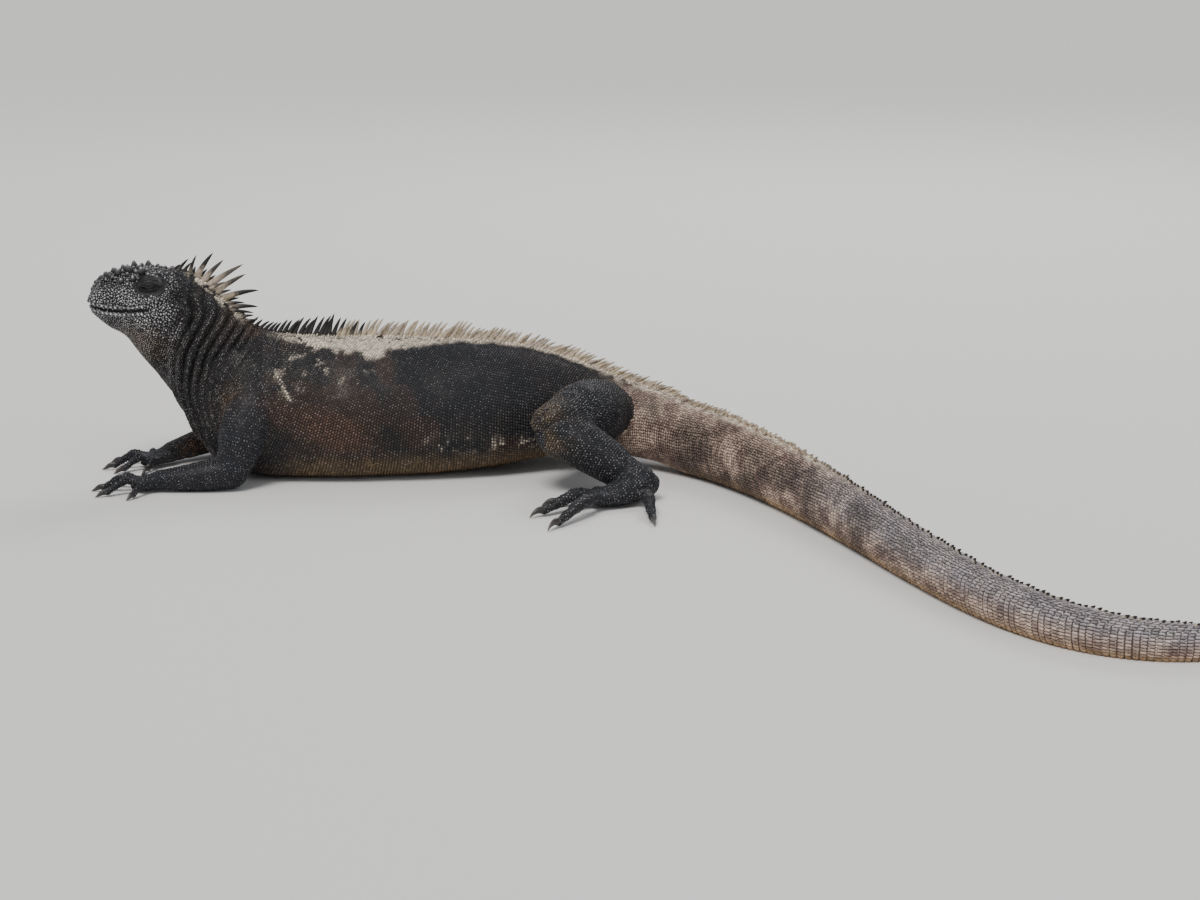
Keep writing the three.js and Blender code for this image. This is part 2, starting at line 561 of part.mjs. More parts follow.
// The horny pyramids of the crown, largest in the middle of the snout and brow.
function crownPyramids() {
  const random = seeded(5);
  const made = [];
  for (let r = 0; r < CROWN.rows; r += 1) {
    const along = lerp(CROWN.from, CROWN.to, r / (CROWN.rows - 1));
    const big = 1 - 0.4 * Math.abs(along + 172) / 36;
    for (let k = 0; k < CROWN.across; k += 1) {
      const angle = radians(((k + (r % 2) * 0.5) / (CROWN.across - 0.5) - 0.5) * 2 * CROWN.spread);
      const u = headParameter(along + (random() - 0.5) * 1.5);
      const root = surfacePoint(u, angle);
      const out = surfacePoint(u, angle, 1);
      const normal = new THREE.Vector3(...out).sub(new THREE.Vector3(...root)).normalize();
      const size = CROWN.base * big * (0.85 + 0.3 * random()) / 2;
      const height = CROWN.height * big * (0.6 + 0.6 * random()) * Math.cos(angle * 0.8);
      const cone = new THREE.ConeGeometry(size, height + 1.6, 4).translate(0, (height + 1.6) / 2 - 1.6, 0);
      const turn = new THREE.Quaternion().setFromUnitVectors(new THREE.Vector3(0, 1, 0), normal);
      cone.applyQuaternion(turn);
      cone.translate(...bend(root).toArray());
      made.push(solidOf(cone));
    }
  }
  return made;
}

// The head's parameter where its top lies at this distance.
function headParameter(along) {
  let u = 0;
  while (u < 9 && surfacePoint(u, 0)[0] < along) u += 0.02;
  return u;
}

// An ellipsoid in the head's frame, centred at a point [distance, side, height].
function ellipsoid([along, side, height], radii, segments = 12) {
  const ball = new THREE.SphereGeometry(1, segments, Math.round(segments * 0.7)).scale(...radii);
  return solidOf(ball.translate(...bend([along, side, height]).toArray()));
}

// The head: its length of the body with lids, lips, crown, nostrils and ear dishes.
function headSolid(length) {
  let head = length;
  const sides = [LEFT, RIGHT];
  for (const s of sides) {
    const lid = [EYE.along, s * (EYE.side - 1.2), EYE.height];
    head = head.add(ellipsoid(lid, [LID.halfLength, EYE.radius + LID.thick * 0.5, LID.halfHeight + 1.4]));
  }
  for (const rise of [LIP_RADIUS, -LIP_RADIUS]) {
    const path = mouthPath(-LIP_RADIUS * 0.55).map((p) => p.clone().setZ(p.z + rise));
    head = head.add(bar(path, LIP_RADIUS, 5));
  }
  head = head.subtract(bar(mouthPath(0.6), MOUTH_GROOVE, 4));
  head = joined([head, ...crownPyramids()]);
  for (const s of sides) {
    const eyeOpening = [EYE.along, s * (EYE.side + 6.5), EYE.height];
    head = head.subtract(ellipsoid(eyeOpening, [LID.halfLength * 0.7, 5, LID.halfHeight * 0.5], 10));
    head = head.subtract(ellipsoid([EYE.along, s * EYE.side, EYE.height], Array(3).fill(EYE.radius + GAP)));
    head = head.subtract(ellipsoid([NOSTRIL.along, s * NOSTRIL.side, NOSTRIL.height],
      [NOSTRIL.radius * 1.3, 4, NOSTRIL.radius], 8));
    head = head.subtract(ellipsoid([EAR.along, s * (headHalfAt(EAR.along, EAR.height) + 1), EAR.height],
      [EAR.radius * 0.8, EAR.depth + 1, EAR.radius], 8));
  }
  return largest(head);
}

// Materials
const skin = new THREE.MeshStandardMaterial({ color: 0x2f2c2d, roughness: 0.7, metalness: 0 });
const tailSkin = new THREE.MeshStandardMaterial({ color: 0x7a6658, roughness: 0.7, metalness: 0 });
const horn = new THREE.MeshStandardMaterial({ color: 0x241f1c, roughness: 0.4, metalness: 0 });
const eyeball = new THREE.MeshStandardMaterial({ color: 0x2a1a12, roughness: 0.15, metalness: 0 });

const iguana = new THREE.Group();
function place(name, solid, material) {
  const mesh = new THREE.Mesh(geometryOf(largest(solid.subtract(FLOOR))), material);
  mesh.name = name;
  iguana.add(mesh);
}

// The body with its crest
const spines = crestSpines();
// A length's own spines are those whose roots stand clear of its two ends.
const spinesOf = ({ from, to }) => spines.filter(([u, , , base]) => u > from && u < to
  && [from, to].every((edge) => Math.abs(surfacePoint(u, 0)[0] - surfacePoint(edge, 0)[0]) > base * 0.62));
for (const length of LENGTHS) {
  const plain = bodyLength(length);
  const shape = length.name === 'head' ? headSolid(plain) : plain;
  place(length.name, joined([shape, ...spinesOf(length).map((s) => spine(...s))]),
    length.name.startsWith('tail') ? tailSkin : skin);
}
for (const [name, s] of [['eye_left', LEFT], ['eye_right', RIGHT]]) {
  place(name, ellipsoid([EYE.along, s * EYE.side, EYE.height], Array(3).fill(EYE.radius)), eyeball);
}

// The limbs, cut clear of the trunk
const trunk = joined(LENGTHS.slice(1, 5).map((length) => bodyLength(length, GAP + 0.1)));
for (const [side, flip] of [['left', LEFT], ['right', RIGHT]]) {
  const arm = limbSolids(ARMS[side], FINGERS, flip, trunk);
  place(`upper_arm_${side}`, arm.upper, skin);
  place(`forearm_${side}`, arm.lower, skin);
  place(`hand_${side}`, arm.foot, skin);
  arm.claws.forEach((claw, i) => place(`hand_claw_${side}_${i + 1}`, claw, horn));
  const leg = limbSolids(LEGS[side], TOES, flip, trunk);
  place(`thigh_${side}`, leg.upper, skin);
  place(`shank_${side}`, leg.lower, skin);
  place(`foot_${side}`, leg.foot, skin);
  leg.claws.forEach((claw, i) => place(`foot_claw_${side}_${i + 1}`, claw, horn));
}

export default iguana;
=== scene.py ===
"""A life-size marine iguana as a still model, lying on a pale floor in soft studio light.

Sizes are in millimetres until a mesh is written, which turns them to metres. The head points along -X, the
tail along +X and the animal's left side faces the camera at -Y. One skin covers the whole animal. Small solid
scales, crest spines, claws, eyes and lids lie on it.
"""
import math

import bpy
import numpy as np
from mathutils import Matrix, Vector
from mathutils.bvhtree import BVHTree
from mathutils.kdtree import KDTree


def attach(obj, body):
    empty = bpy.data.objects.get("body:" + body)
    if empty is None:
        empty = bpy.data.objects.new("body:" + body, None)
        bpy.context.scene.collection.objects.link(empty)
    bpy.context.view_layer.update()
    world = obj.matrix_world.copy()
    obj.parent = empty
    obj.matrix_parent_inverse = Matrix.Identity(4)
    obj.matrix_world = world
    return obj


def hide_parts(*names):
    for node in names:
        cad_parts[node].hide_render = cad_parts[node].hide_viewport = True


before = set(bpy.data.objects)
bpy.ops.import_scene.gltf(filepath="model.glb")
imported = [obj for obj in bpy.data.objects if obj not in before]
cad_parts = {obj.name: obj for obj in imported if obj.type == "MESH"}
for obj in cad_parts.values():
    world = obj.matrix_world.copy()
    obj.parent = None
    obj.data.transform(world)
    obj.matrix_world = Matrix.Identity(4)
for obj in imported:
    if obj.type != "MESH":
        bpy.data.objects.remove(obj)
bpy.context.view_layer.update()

MM = 0.001
TURN = 2 * math.pi

# The body's driving sizes
COAT_DEPTH = 0.7  # how far the skin lies inside the solids
TAIL_START = 170
TAIL_TIP = 818
TAIL_HEIGHT = 50
TAIL_TAPER = 0.6
TAIL_LIFT = 5.2
TAIL_TOUCHDOWN = 45
FLOOR_PRESS = 0.9
FLOOR_GAP = 0.3  # the skin's underside over the floor
MM_PER_U = 20
PLAN_SPAN = (-230, TAIL_TIP + 31)  # where the plan curve is worked out, once every millimetre

# The plan curve: heading in degrees, 0 along +X, at distances along the body
HEADINGS = [
    (-215, 0), (-130, 3), (-60, 6), (60, 7), (100, 5), (125, -2), (150, -14), (180, -33), (215, -48),
    (250, -58), (300, -64), (360, -68), (430, -70), (500, -68), (550, -62), (590, -50), (620, -34),
    (650, -12), (690, 14), (740, 28), (820, 34),
]

# Cross-sections from snout to hips: top point and bottom point as distance along the body and height, half
# width, roundness of the upper and lower half, and how far the widest level sags
SECTIONS = [
    (-200.2, 121.5, -200.2, 111.5, 7, 2.2, 2.2, 0),
    (-198.3, 127.5, -197.6, 107.5, 12.5, 2.4, 2.3, 0),
    (-194, 132.5, -193, 103, 16.5, 2.5, 2.3, 0),
    (-187, 135.5, -187, 98.5, 19, 2.5, 2.3, 0.02),
    (-178, 137, -180, 95, 21.5, 2.5, 2.3, 0.05),
    (-169, 138.3, -175.5, 91, 24, 2.9, 2.2, 0.08),
    (-159, 138.3, -171.5, 85, 26.5, 3.4, 2.1, 0.12),
    (-149, 137.6, -167.5, 79.5, 28.5, 2.9, 2.1, 0.14),
    (-140, 136.4, -163.5, 74, 28.5, 2.3, 2.1, 0.12),
    (-131.5, 132.8, -159.5, 68.5, 25.5, 2.1, 2.1, 0.08),
    (-123, 126, -155, 62, 23.5, 2, 2.1, 0.05),
    (-114.5, 117, -149.8, 54.5, 23.5, 2, 2.1, 0.05),
    (-106, 108.5, -144.8, 45, 26, 1.9, 2.1, 0.08),
    (-97.5, 101, -139, 34, 31, 1.9, 2.2, 0.1),
    (-87, 96, -131.5, 22, 37, 1.9, 2.2, 0.14),
    (-75, 93.8, -121, 9.5, 42.5, 1.9, 2.2, 0.18),
    (-58, 92.5, -99, 0.5, 45.5, 1.9, 2.3, 0.22),
    (-35, 91.3, -62, -1.4, 47, 1.9, 2.4, 0.25),
    (-5, 91, -20, -1.6, 50, 1.9, 2.4, 0.27),
    (28, 88.5, 22, -1, 50.5, 1.9, 2.4, 0.27),
    (60, 86, 58, 1.5, 47.5, 1.9, 2.4, 0.25),
    (90, 81, 88, 5, 41.5, 1.9, 2.3, 0.2),
    (114, 73.5, 111, 7.5, 36, 1.9, 2.2, 0.14),
    (135, 66, 132, 8.2, 31, 1.9, 2.2, 0.08),
    (153, 59.5, 151, 7.2, 27, 1.9, 2.2, 0.03),
    (TAIL_START, 55.2, TAIL_START, 5.2, 24, 1.9, 2.2, 0),
]
HIP_U = len(SECTIONS) - 1
TAIL_END_U = HIP_U + (TAIL_TIP - TAIL_START) / MM_PER_U
NECK_U, TORSO_U, RUMP_U = 9.3, 14.2, 24.3

# Features of the head; stretch is how much longer than high a feature is, seen from the side
EYE = dict(along=-158.5, side=17.2, height=130.0, radius=6.2, stretch=1.3)
LID = dict(half_length=9.8, half_height=6.7, bulge=6.7, slit_length=5.3, slit_height=1.6)
NOSTRIL = dict(along=-187.5, height=130, stretch=1)
EAR = dict(along=-141.5, height=121, stretch=0.8)
MOUTH = [(-201.5, 115.6), (-196, 114.8), (-186, 113.6), (-176, 113.4), (-166, 114.2), (-156, 115)]

# Crest spines of the nape: distance along the body, length, degrees above the backward horizontal, and how
# pale: 0 black, 1 light root and dark tip, 2 light throughout
NAPE_SPINES = [
    (-145.5, 6, 48, 0.1), (-142.8, 11.5, 50, 0.1), (-139.4, 8, 55, 0.15), (-135.3, 14, 76, 0.25),
    (-131.2, 20.5, 54, 0.9), (-127.2, 20.5, 45, 1.1), (-123.8, 28, 33, 1.2), (-119.7, 24.5, 28, 1.1),
    (-115.5, 26, 17, 0.6), (-112.5, 13, 10, 0.3), (-110, 19, 5, 0.25), (-107, 13, 2, 0.2),
    (-103.5, 9.5, 8, 0.3), (-100, 8.5, 14, 0.3),
]
# Crest spines of the back and tail: distance, length, spacing, lean from the surface's normal in degrees
CREST = [
    (-97, 8, 3.3, 20), (-83, 10, 3.4, 24), (-70, 13.5, 3.3, 24), (-45, 14, 3.2, 24), (-28, 11, 3.1, 28),
    (-10, 14, 3, 30), (40, 13.5, 2.7, 34), (100, 12.5, 2.4, 40), (150, 11, 2.2, 46), (200, 8.8, 2.2, 50),
    (300, 6.2, 2.8, 52), (450, 4.4, 3.5, 50), (600, 3.4, 3.7, 48), (TAIL_TIP - 12, 1.6, 3, 46),
]

# Limbs: joints as (x, y, z) and radii (across, up) at each; side is the direction of across
ARMS = {
    "left": dict(
        upper=([(-86, -24, 64), (-92, -42, 51), (-98, -55, 32), (-104, -62, 14)],
               [(19, 15), (18, 14), (15.5, 13), (12, 11.5)], (1, 0, 0)),
        lower=([(-104, -62, 12.5), (-119, -64, 10.5), (-137, -65.5, 8.6), (-152, -66, 7.4)],
               [(11.5, 11.5), (11, 10.2), (9, 8.2), (7.4, 6.6)], (0, 1, 0)),
        palm=([(-150, -66, 7.2), (-158, -66.5, 6.2), (-166, -67, 5.6)], [(7.6, 6.2), (9.6, 5.2), (9, 4.2)]),
        heading=183),
    "right": dict(
        upper=([(-86, 24, 64), (-95, 34, 50), (-107, 40, 33), (-116, 41, 18)],
               [(19, 15), (17, 14), (14.5, 12.5), (11.5, 11)], (1, 0, 0)),
        lower=([(-116, 41, 17), (-130, 30, 14), (-146, 16, 10.5), (-158, 5, 8)],
               [(11.5, 11), (10.5, 10), (8.6, 8), (7.2, 6.6)], (0.7, 0.7, 0)),
        palm=([(-157, 6, 7.4), (-164, 0, 6.2), (-172, -5, 5.6)], [(7.6, 6.2), (9.6, 5.2), (9, 4.2)]),
        heading=192),
}
LEGS = {
    "left": dict(
        upper=([(140, 0, 38), (133, -22, 42), (121, -46, 44.5), (109, -64, 43.5)],
               [(20, 20), (21.5, 22), (20.5, 21.5), (18.5, 19.5)], (1, 0, 0)),
        lower=([(110, -66, 40), (126, -73, 31), (146, -81, 20), (162, -87, 13)],
               [(17.5, 18), (16.5, 15.5), (13.2, 13), (10.8, 11)], (0.3, 1, 0)),
        palm=([(164, -87, 11.5), (158, -95, 10), (146, -102, 8), (134, -107, 6)],
              [(10.5, 10.6), (11.5, 9), (12, 6.6), (11.5, 4.8)]),
        heading=212),
    "right": dict(
        upper=([(140, 22, 38), (133, 44, 38), (121, 66, 37), (108, 84, 34)],
               [(20, 20), (21, 20.5), (19.5, 19), (17.5, 17.5)], (1, 0, 0)),
        lower=([(109, 86, 32), (124, 94, 26), (142, 103, 18), (156, 110, 12.5)],
               [(17, 17), (15.5, 15), (13, 12.5), (10.8, 10.8)], (0.4, 1, 0)),
        palm=([(158, 110, 11.2), (151, 117, 9.6), (140, 122, 7.6), (128, 125, 5.8)],
              [(10.5, 10.4), (11.5, 8.8), (12, 6.4), (11.5, 4.8)]),
        heading=168),
}
# Digits, inner to outer: angle from the middle one, start along and across the palm, length, arch, radius at
# root and tip, claw length
FINGERS = [
    (52, 0.45, 0.75, 13, 3.5, 3.2, 2.3, 7), (24, 0.85, 0.5, 18, 5.5, 3.3, 2.3, 8),
    (2, 0.95, 0, 21, 6.5, 3.4, 2.3, 8.5), (-22, 0.85, -0.5, 20, 6, 3.3, 2.3, 8),
    (-58, 0.45, -0.75, 14, 4, 3.1, 2.2, 7),
]
TOES = [
    (46, 0.6, 0.75, 17, 3.5, 3.7, 2.5, 8), (22, 0.9, 0.5, 27, 5, 4, 2.6, 9.5),
    (0, 1, 0.1, 38, 6, 4.3, 2.7, 10.5), (-24, 0.95, -0.45, 50, 6, 4.4, 2.7, 11.5),
    (-64, 0.25, -0.7, 42, 5.5, 4.4, 2.5, 10),
]


# Curves and surfaces, worked out for whole arrays at once

def smooth_rows(rows, x):
    """A cubic Hermite curve through rows of x and values; the slope at a row is that of the chord between its
    neighbours."""
    rows = np.asarray(rows, float)
    x = np.asarray(x, float)
    xs = rows[:, 0]
    last = len(xs) - 1
    before = np.clip(np.arange(last + 1) - 1, 0, last)
    after = np.clip(np.arange(last + 1) + 1, 0, last)
    slopes = (rows[after] - rows[before]) / (xs[after] - xs[before])[:, None]
    i = np.clip(np.searchsorted(xs, x, side="right") - 1, 0, last - 1)
    width = xs[i + 1] - xs[i]
    t = np.clip((x - xs[i]) / width, 0, 1)
    blend = (t * t * (3 - 2 * t))[..., None]
    leaving = (width * t * (1 - t) ** 2)[..., None] * slopes[i]
    arriving = (width * t * t * (1 - t))[..., None] * slopes[i + 1]
    return (1 - blend) * rows[i] + blend * rows[i + 1] + (leaving - arriving)


def smoothstep(low, high, x):
    """0 below low, 1 above high, and 3 t squared less 2 t cubed between."""
    t = np.clip((np.asarray(x, float) - low) / (high - low), 0, 1)
    return t * t * (3 - 2 * t)


def bump(x, centre, width):
    """A bell of height 1: e to the minus of the squared distance from centre over width."""
    return np.exp(-((x - centre) / width) ** 2)


def between(x, start, full, fall, end):
    """1 from full to fall, 0 outside start to end, and smooth steps between."""
    return smoothstep(start, full, x) * smoothstep(end, fall, x)


def unit(v):
    return v / np.maximum(np.linalg.norm(v, axis=-1, keepdims=True), 1e-9)


def value_noise(p, size, seed=0):
    """Smooth noise from 0 to 1: random values at the corners of cubes of this size, blended inside each."""
    q = np.asarray(p, float) / size + 100.5 + 17.3 * seed
    cell = np.floor(q).astype(np.int64)
    f = q - cell
    f = f * f * (3 - 2 * f)
    total = 0
    for corner in np.ndindex(2, 2, 2):
        c = cell + np.array(corner)
        hashed = (c[..., 0] * 73856093) ^ (c[..., 1] * 19349663) ^ (c[..., 2] * 83492791) ^ (seed * 2654435)
        hashed = (hashed * 1103515245 + 12345) & 0x7FFFFFFF
        value = ((hashed >> 8) & 0xFFFF) / 65535.0
        weight = np.prod(np.where(np.array(corner) == 1, f, 1 - f), axis=-1)
        total = total + weight * value
    return total


def cloud(p, size, seed=0):
    """Three layers of smooth noise, each half as large and half as strong as the one before."""
    layers = [value_noise(p, size / 2 ** k, seed + k) / 2 ** k for k in range(3)]
    return sum(layers) / 1.75


def plan_table():
    """The plan curve: place is the running sum of unit steps along the heading, from the origin both ways."""
    along = np.arange(*PLAN_SPAN, dtype=float)
    heading = np.radians(smooth_rows(HEADINGS, np.clip(along, HEADINGS[0][0], HEADINGS[-1][0]))[:, 1])
    step = np.stack([np.cos(heading), np.sin(heading)], 1)
    zero = -PLAN_SPAN[0]
    place = np.zeros_like(step)
    place[zero + 1:] = np.cumsum(step[zero:-1], axis=0)
    place[:zero] = -np.cumsum(step[zero:0:-1], axis=0)[::-1]
    return along, place, heading


PLAN_ALONG, PLAN_PLACE, PLAN_HEADING = plan_table()


def bend(p):
    """Bends points of the straight body (distance, side, height) along the plan curve."""
    along, side, height = p[..., 0], p[..., 1], p[..., 2]
    heading = np.interp(along, PLAN_ALONG, PLAN_HEADING)
    x = np.interp(along, PLAN_ALONG, PLAN_PLACE[:, 0]) - np.sin(heading) * side
    y = np.interp(along, PLAN_ALONG, PLAN_PLACE[:, 1]) + np.cos(heading) * side
    return np.stack([x, y, height], -1)


def sections(u):
    """The body's cross-sections at parameters u: smooth rows up to the hips, then the tail's formula, where
    height falls as a power of the share of the tail that is left."""
    rows = [(i,) + s for i, s in enumerate(SECTIONS)]
    front = smooth_rows(rows, np.clip(u, 0, HIP_U))[..., 1:]
    along = TAIL_START + (u - HIP_U) * MM_PER_U
    t = np.clip((along - TAIL_START) / (TAIL_TIP - TAIL_START), 0, 0.9985)
    height = np.maximum(TAIL_HEIGHT * (1 - t) ** TAIL_TAPER, 1.6)
    half = height / 2 * (0.56 + 0.4 * np.exp(-t / 0.14))
    drop = smoothstep(TAIL_START, TAIL_START + TAIL_TOUCHDOWN, along)
    low = TAIL_LIFT * (1 - drop) - FLOOR_PRESS * drop
    same = np.ones_like(low)
    back = np.stack([along, low + height, along, low, half, 1.9 * same, 2.2 - 0.2 * drop, 0 * same], -1)
    return np.where((u <= HIP_U)[..., None], front, back)


def straight_point(u, angle, grow):
    """A point of the straight body: a superellipse, with an upper and a lower half of their own roundness,
    moved out by grow. Below u 0 the snout closes as a low dome."""
    u, angle, grow = np.broadcast_arrays(*(np.asarray(v, float) for v in (u, angle, grow)))
    s = sections(np.maximum(u, 0))
    dx, dz = s[..., 0] - s[..., 2], s[..., 1] - s[..., 3]
    size = np.hypot(dx, dz)
    c, n = np.cos(angle), np.sin(angle)
    power = 2 / np.where(c > 0, s[..., 5], s[..., 6])
    up = np.sign(c) * np.abs(c) ** power
    out = np.sign(n) * np.abs(n) ** power
    dome = np.clip(-u, 0, 1) * math.pi / 2
    shrink, ahead = np.cos(dome), np.sin(dome)
    level = 0.5 + up * (0.5 + grow / size) * shrink - 0.5 * s[..., 7] * (1 - up * up)
    x = s[..., 2] + dx * level - ahead * (1.4 + grow)
    return np.stack([x, out * (s[..., 4] + grow) * shrink, s[..., 3] + dz * level], -1)


def mouth_height(along):
    """Height of the mouth's line at distances along the body."""
    return smooth_rows(MOUTH, np.clip(along, MOUTH[0][0], MOUTH[-1][0]))[..., 1]


def from_feature(feature, along, height):
    """Distance from a feature of the head, seen from the side and shortened along its own stretch."""
    return np.hypot((along - feature["along"]) / feature["stretch"], height - feature["height"])


def neck_folds(p):
    """Folds of the neck at straight points: how strongly they stand there, and their wave, 0 in a furrow
    and 1 on a ridge. The wave runs with the distance behind a wavering line that slants down from the nape,
    over a spacing that is closer on the chest than on the nape."""
    height = p[..., 2]
    line = smooth_rows([(10, -121), (25, -128), (45, -135), (60, -138), (86, -133), (109, -121), (122, -122),
                        (140, -118)], height)[..., 1]
    waver = 4 * (cloud(p * [1, 1, 0.3], 30, 3) - 0.5)
    q = (p[..., 0] - line + waver) / (4.7 + 2.7 * smoothstep(45, 105, height))
    girth = np.abs(np.arctan2(p[..., 1], height - 75)) / math.pi
    where = smoothstep(10, 34, height) * smoothstep(131, 116, height) * smoothstep(-2.6, -1.4, q)
    where = where * smoothstep(6.5, 3.0, q) * smoothstep(0.02, 0.1, girth)
    return where, 0.5 + 0.5 * np.cos(TURN * q)


def relief(p, angle):
    """Height of the body's own forms over its smooth sections: sums of bells for brow, jowl, lips, nostril
    and ear, rounded folds on the neck, and low noise on the flanks."""
    along, side, height = p[..., 0], np.abs(p[..., 1]), p[..., 2]
    girth = np.abs(angle) / math.pi
    above = height - mouth_height(along)
    at_mouth = smoothstep(-153, -163, along)
    waver = 0.75 + 0.5 * cloud(p, 7, 14)
    d = at_mouth * waver * (1.3 * bump(above, 3.2, 2.4) + 0.9 * bump(above, -3.2, 2.3))
    d -= at_mouth * 1.7 * bump(above, 0, 0.75)
    lateral = smoothstep(6, 12, side)
    d -= lateral * 1.9 * bump(from_feature(EYE, along, height), 0, 6.8)
    d += lateral * 1.7 * bump(along, -160, 12) * bump(height, 138.6, 2.4)
    d += lateral * 1.3 * bump(along, -161, 11) * bump(height, 121.2, 2.5)
    d -= lateral * 0.9 * bump(along, -172, 4) * bump(height, 127, 5)
    to_nostril = from_feature(NOSTRIL, along, height)
    d += lateral * (1.5 * bump(to_nostril, 3.9, 1.5) - 3.2 * bump(to_nostril, 0, 2.0))
    to_ear = from_feature(EAR, along, height)
    d += lateral * (1.2 * bump(to_ear, 6.6, 1.8) - 2.3 * bump(to_ear, 0, 4.2))
    d += lateral * 2.6 * bump(along, -152, 11) * bump(height, 103, 11)
    d += lateral * 1.0 * bump(along, -183, 7) * bump(height, 122, 4)
    where, wave = neck_folds(p)
    d += where * 3.3 * (wave ** 0.8 - 0.6) * (0.6 + 0.8 * cloud(p, 20, 5))
    flank = smoothstep(-110, -80, along) * smoothstep(160, 120, along) * smoothstep(0.03, 0.2, girth)
    d += flank * 2.6 * (cloud(p * [1, 1, 0.6], 34, 9) - 0.5) * smoothstep(0.95, 0.7, girth)
    creases = np.abs(np.cos(math.pi * (along + 12 * cloud(p, 30, 12)) / 13)) ** 0.5
    d += (1.1 * (creases - 0.8) * bump(along, -84, 17) * smoothstep(16, 44, height)
          * smoothstep(0.1, 0.25, girth))
    hip = np.abs(np.cos(math.pi * (along - 0.5 * height + 10 * cloud(p, 26, 15)) / 9)) ** 0.5
    d += 0.9 * (hip - 0.8) * bump(along, 98, 14) * smoothstep(10, 30, height) * smoothstep(0.2, 0.3, girth)
    tail = smoothstep(150, 200, along)
    d += tail * 0.5 * (cloud(p, 22, 7) - 0.5) * smoothstep(TAIL_TIP, TAIL_TIP - 200, along)
    return d


def body_surface(u, angle, grow=0.0):
    """The living body: the straight body moved out by its relief, bent along the plan curve, and pressed flat
    where it meets the floor."""
    base = straight_point(u, angle, grow)
    full = straight_point(u, angle, grow + relief(base, angle) * smoothstep(-1.02, -0.4, u))
    p = bend(full)
    p[..., 2] = np.maximum(p[..., 2], FLOOR_GAP)
    return p


def tube(joints, radii, side, lumps=None):
    """A surface round a smooth path: at t from 0 to 1 an ellipse of the radii there stands square to it. Past
    either end, t from 0 to -1 or 1 to 2, it closes as a dome. lumps gives a factor on the radii at t."""
    path = np.column_stack([np.linspace(0, 1, len(joints)), joints])
    swell = np.column_stack([np.linspace(0, 1, len(radii)), radii])

    def surface(t, angle, grow=0.0):
        t, angle = np.broadcast_arrays(np.asarray(t, float), np.asarray(angle, float))
        core = np.clip(t, 0, 1)
        centre = smooth_rows(path, core)[..., 1:]
        ahead = smooth_rows(path, np.clip(core + 0.01, 0, 1))[..., 1:]
        tangent = unit(ahead - smooth_rows(path, np.clip(core - 0.01, 0, 1))[..., 1:])
        across = np.broadcast_to(np.array(side, float), tangent.shape)
        across = unit(across - tangent * np.sum(across * tangent, -1, keepdims=True))
        up = np.cross(tangent, across)
        r = smooth_rows(swell, core)[..., 1:] + grow
        if lumps is not None:
            r = r * lumps(core, angle)[..., None]
        dome = np.clip(np.where(t < 0, -t, t - 1), 0, 1) * math.pi / 2
        push = np.where(t < 0, -1, 1) * np.sin(dome) * r.min(-1)
        c, n = np.cos(angle), np.sin(angle)
        p = centre + tangent * push[..., None]
        p = p + across * (c * r[..., 0] * np.cos(dome))[..., None]
        p = p + up * (n * r[..., 1] * np.cos(dome))[..., None]
        p[..., 2] = np.maximum(p[..., 2], FLOOR_GAP)
        return p

    return surface


def muscle(swing, phase):
    """A factor on a limb's radii that swells on one side and wavers along it, as muscle under skin does, with
    a few narrow creases near the joint at its end."""

    def factor(t, angle):
        swell = 1 + swing * np.sin(math.pi * t) * np.cos(angle - phase) + 0.012 * np.sin(9 * t + 2 * angle)
        for k, place in enumerate((0.78, 0.86, 0.93)):
            crease = bump(t + 0.03 * np.sin(1.7 * angle + k), place, 0.017)
            swell = swell - 0.055 * crease * (0.35 + 0.65 * np.cos(angle / 2 - phase) ** 2)
        return swell

    return factor


def digit_parts(limb, numbers, flip):
    """A digit as a tube over an arched path, with a swelling at each of its joints, and its claw's path."""
    angle, start, across, length, arch, root_radius, tip_radius, claw = numbers
    joints, radii = limb["palm"]
    heading = math.radians(limb["heading"] + flip * angle)
    forward = np.array([math.cos(heading), math.sin(heading), 0])
    main = math.radians(limb["heading"])
    inner = np.array([math.sin(main), -math.cos(main), 0]) * -flip
    rows = np.column_stack([np.linspace(0, 1, len(joints)), joints])
    root = smooth_rows(rows, np.array(start))[1:] + inner * across * radii[-1][0]
    root[2] = min(root[2], root_radius + 2)
    tip_height = tip_radius * 1.35

    def at(reach, height):
        return np.array([*(root + forward * length * reach)[:2], height])

    path = [at(-0.12, root[2]), at(0.25, root[2] + arch * 0.55), at(0.5, root[2] + arch * 0.6),
            at(0.78, 0.3 * root[2] + 0.7 * tip_height + arch * 0.3), at(1, tip_height)]
    swell = [root_radius, root_radius * 0.92, root_radius, 0.4 * root_radius + 0.6 * tip_radius, tip_radius]
    side = (-forward[1], forward[0], 0)
    knuckles = max(2, round(length / 11))

    def lumps(t, turn):
        return 1 + 0.07 * np.cos(TURN * knuckles * t) - 0.05 * np.maximum(0, -np.sin(turn))

    flesh = tube(path, [(r, r) for r in swell], side, lumps)
    slope = (path[4][2] - path[3][2]) / (length * 0.22)

    def claw_at(reach, drop):
        p = path[4] + forward * reach
        return np.array([p[0], p[1], max(tip_height + slope * 0.7 * reach - drop, 0.5)])

    horn = [claw_at(-0.5, 0), claw_at(claw * 0.35, -claw * 0.15), claw_at(claw * 0.72, -claw * 0.1),
            claw_at(claw, claw * 0.1)]
    nail = tube(horn, [(s * tip_radius * 0.8, s * tip_radius * 1.05) for s in (0.95, 0.76, 0.45, 0.1)], side)
    return flesh, nail, length


# Meshes

BODY_SIDES = 132


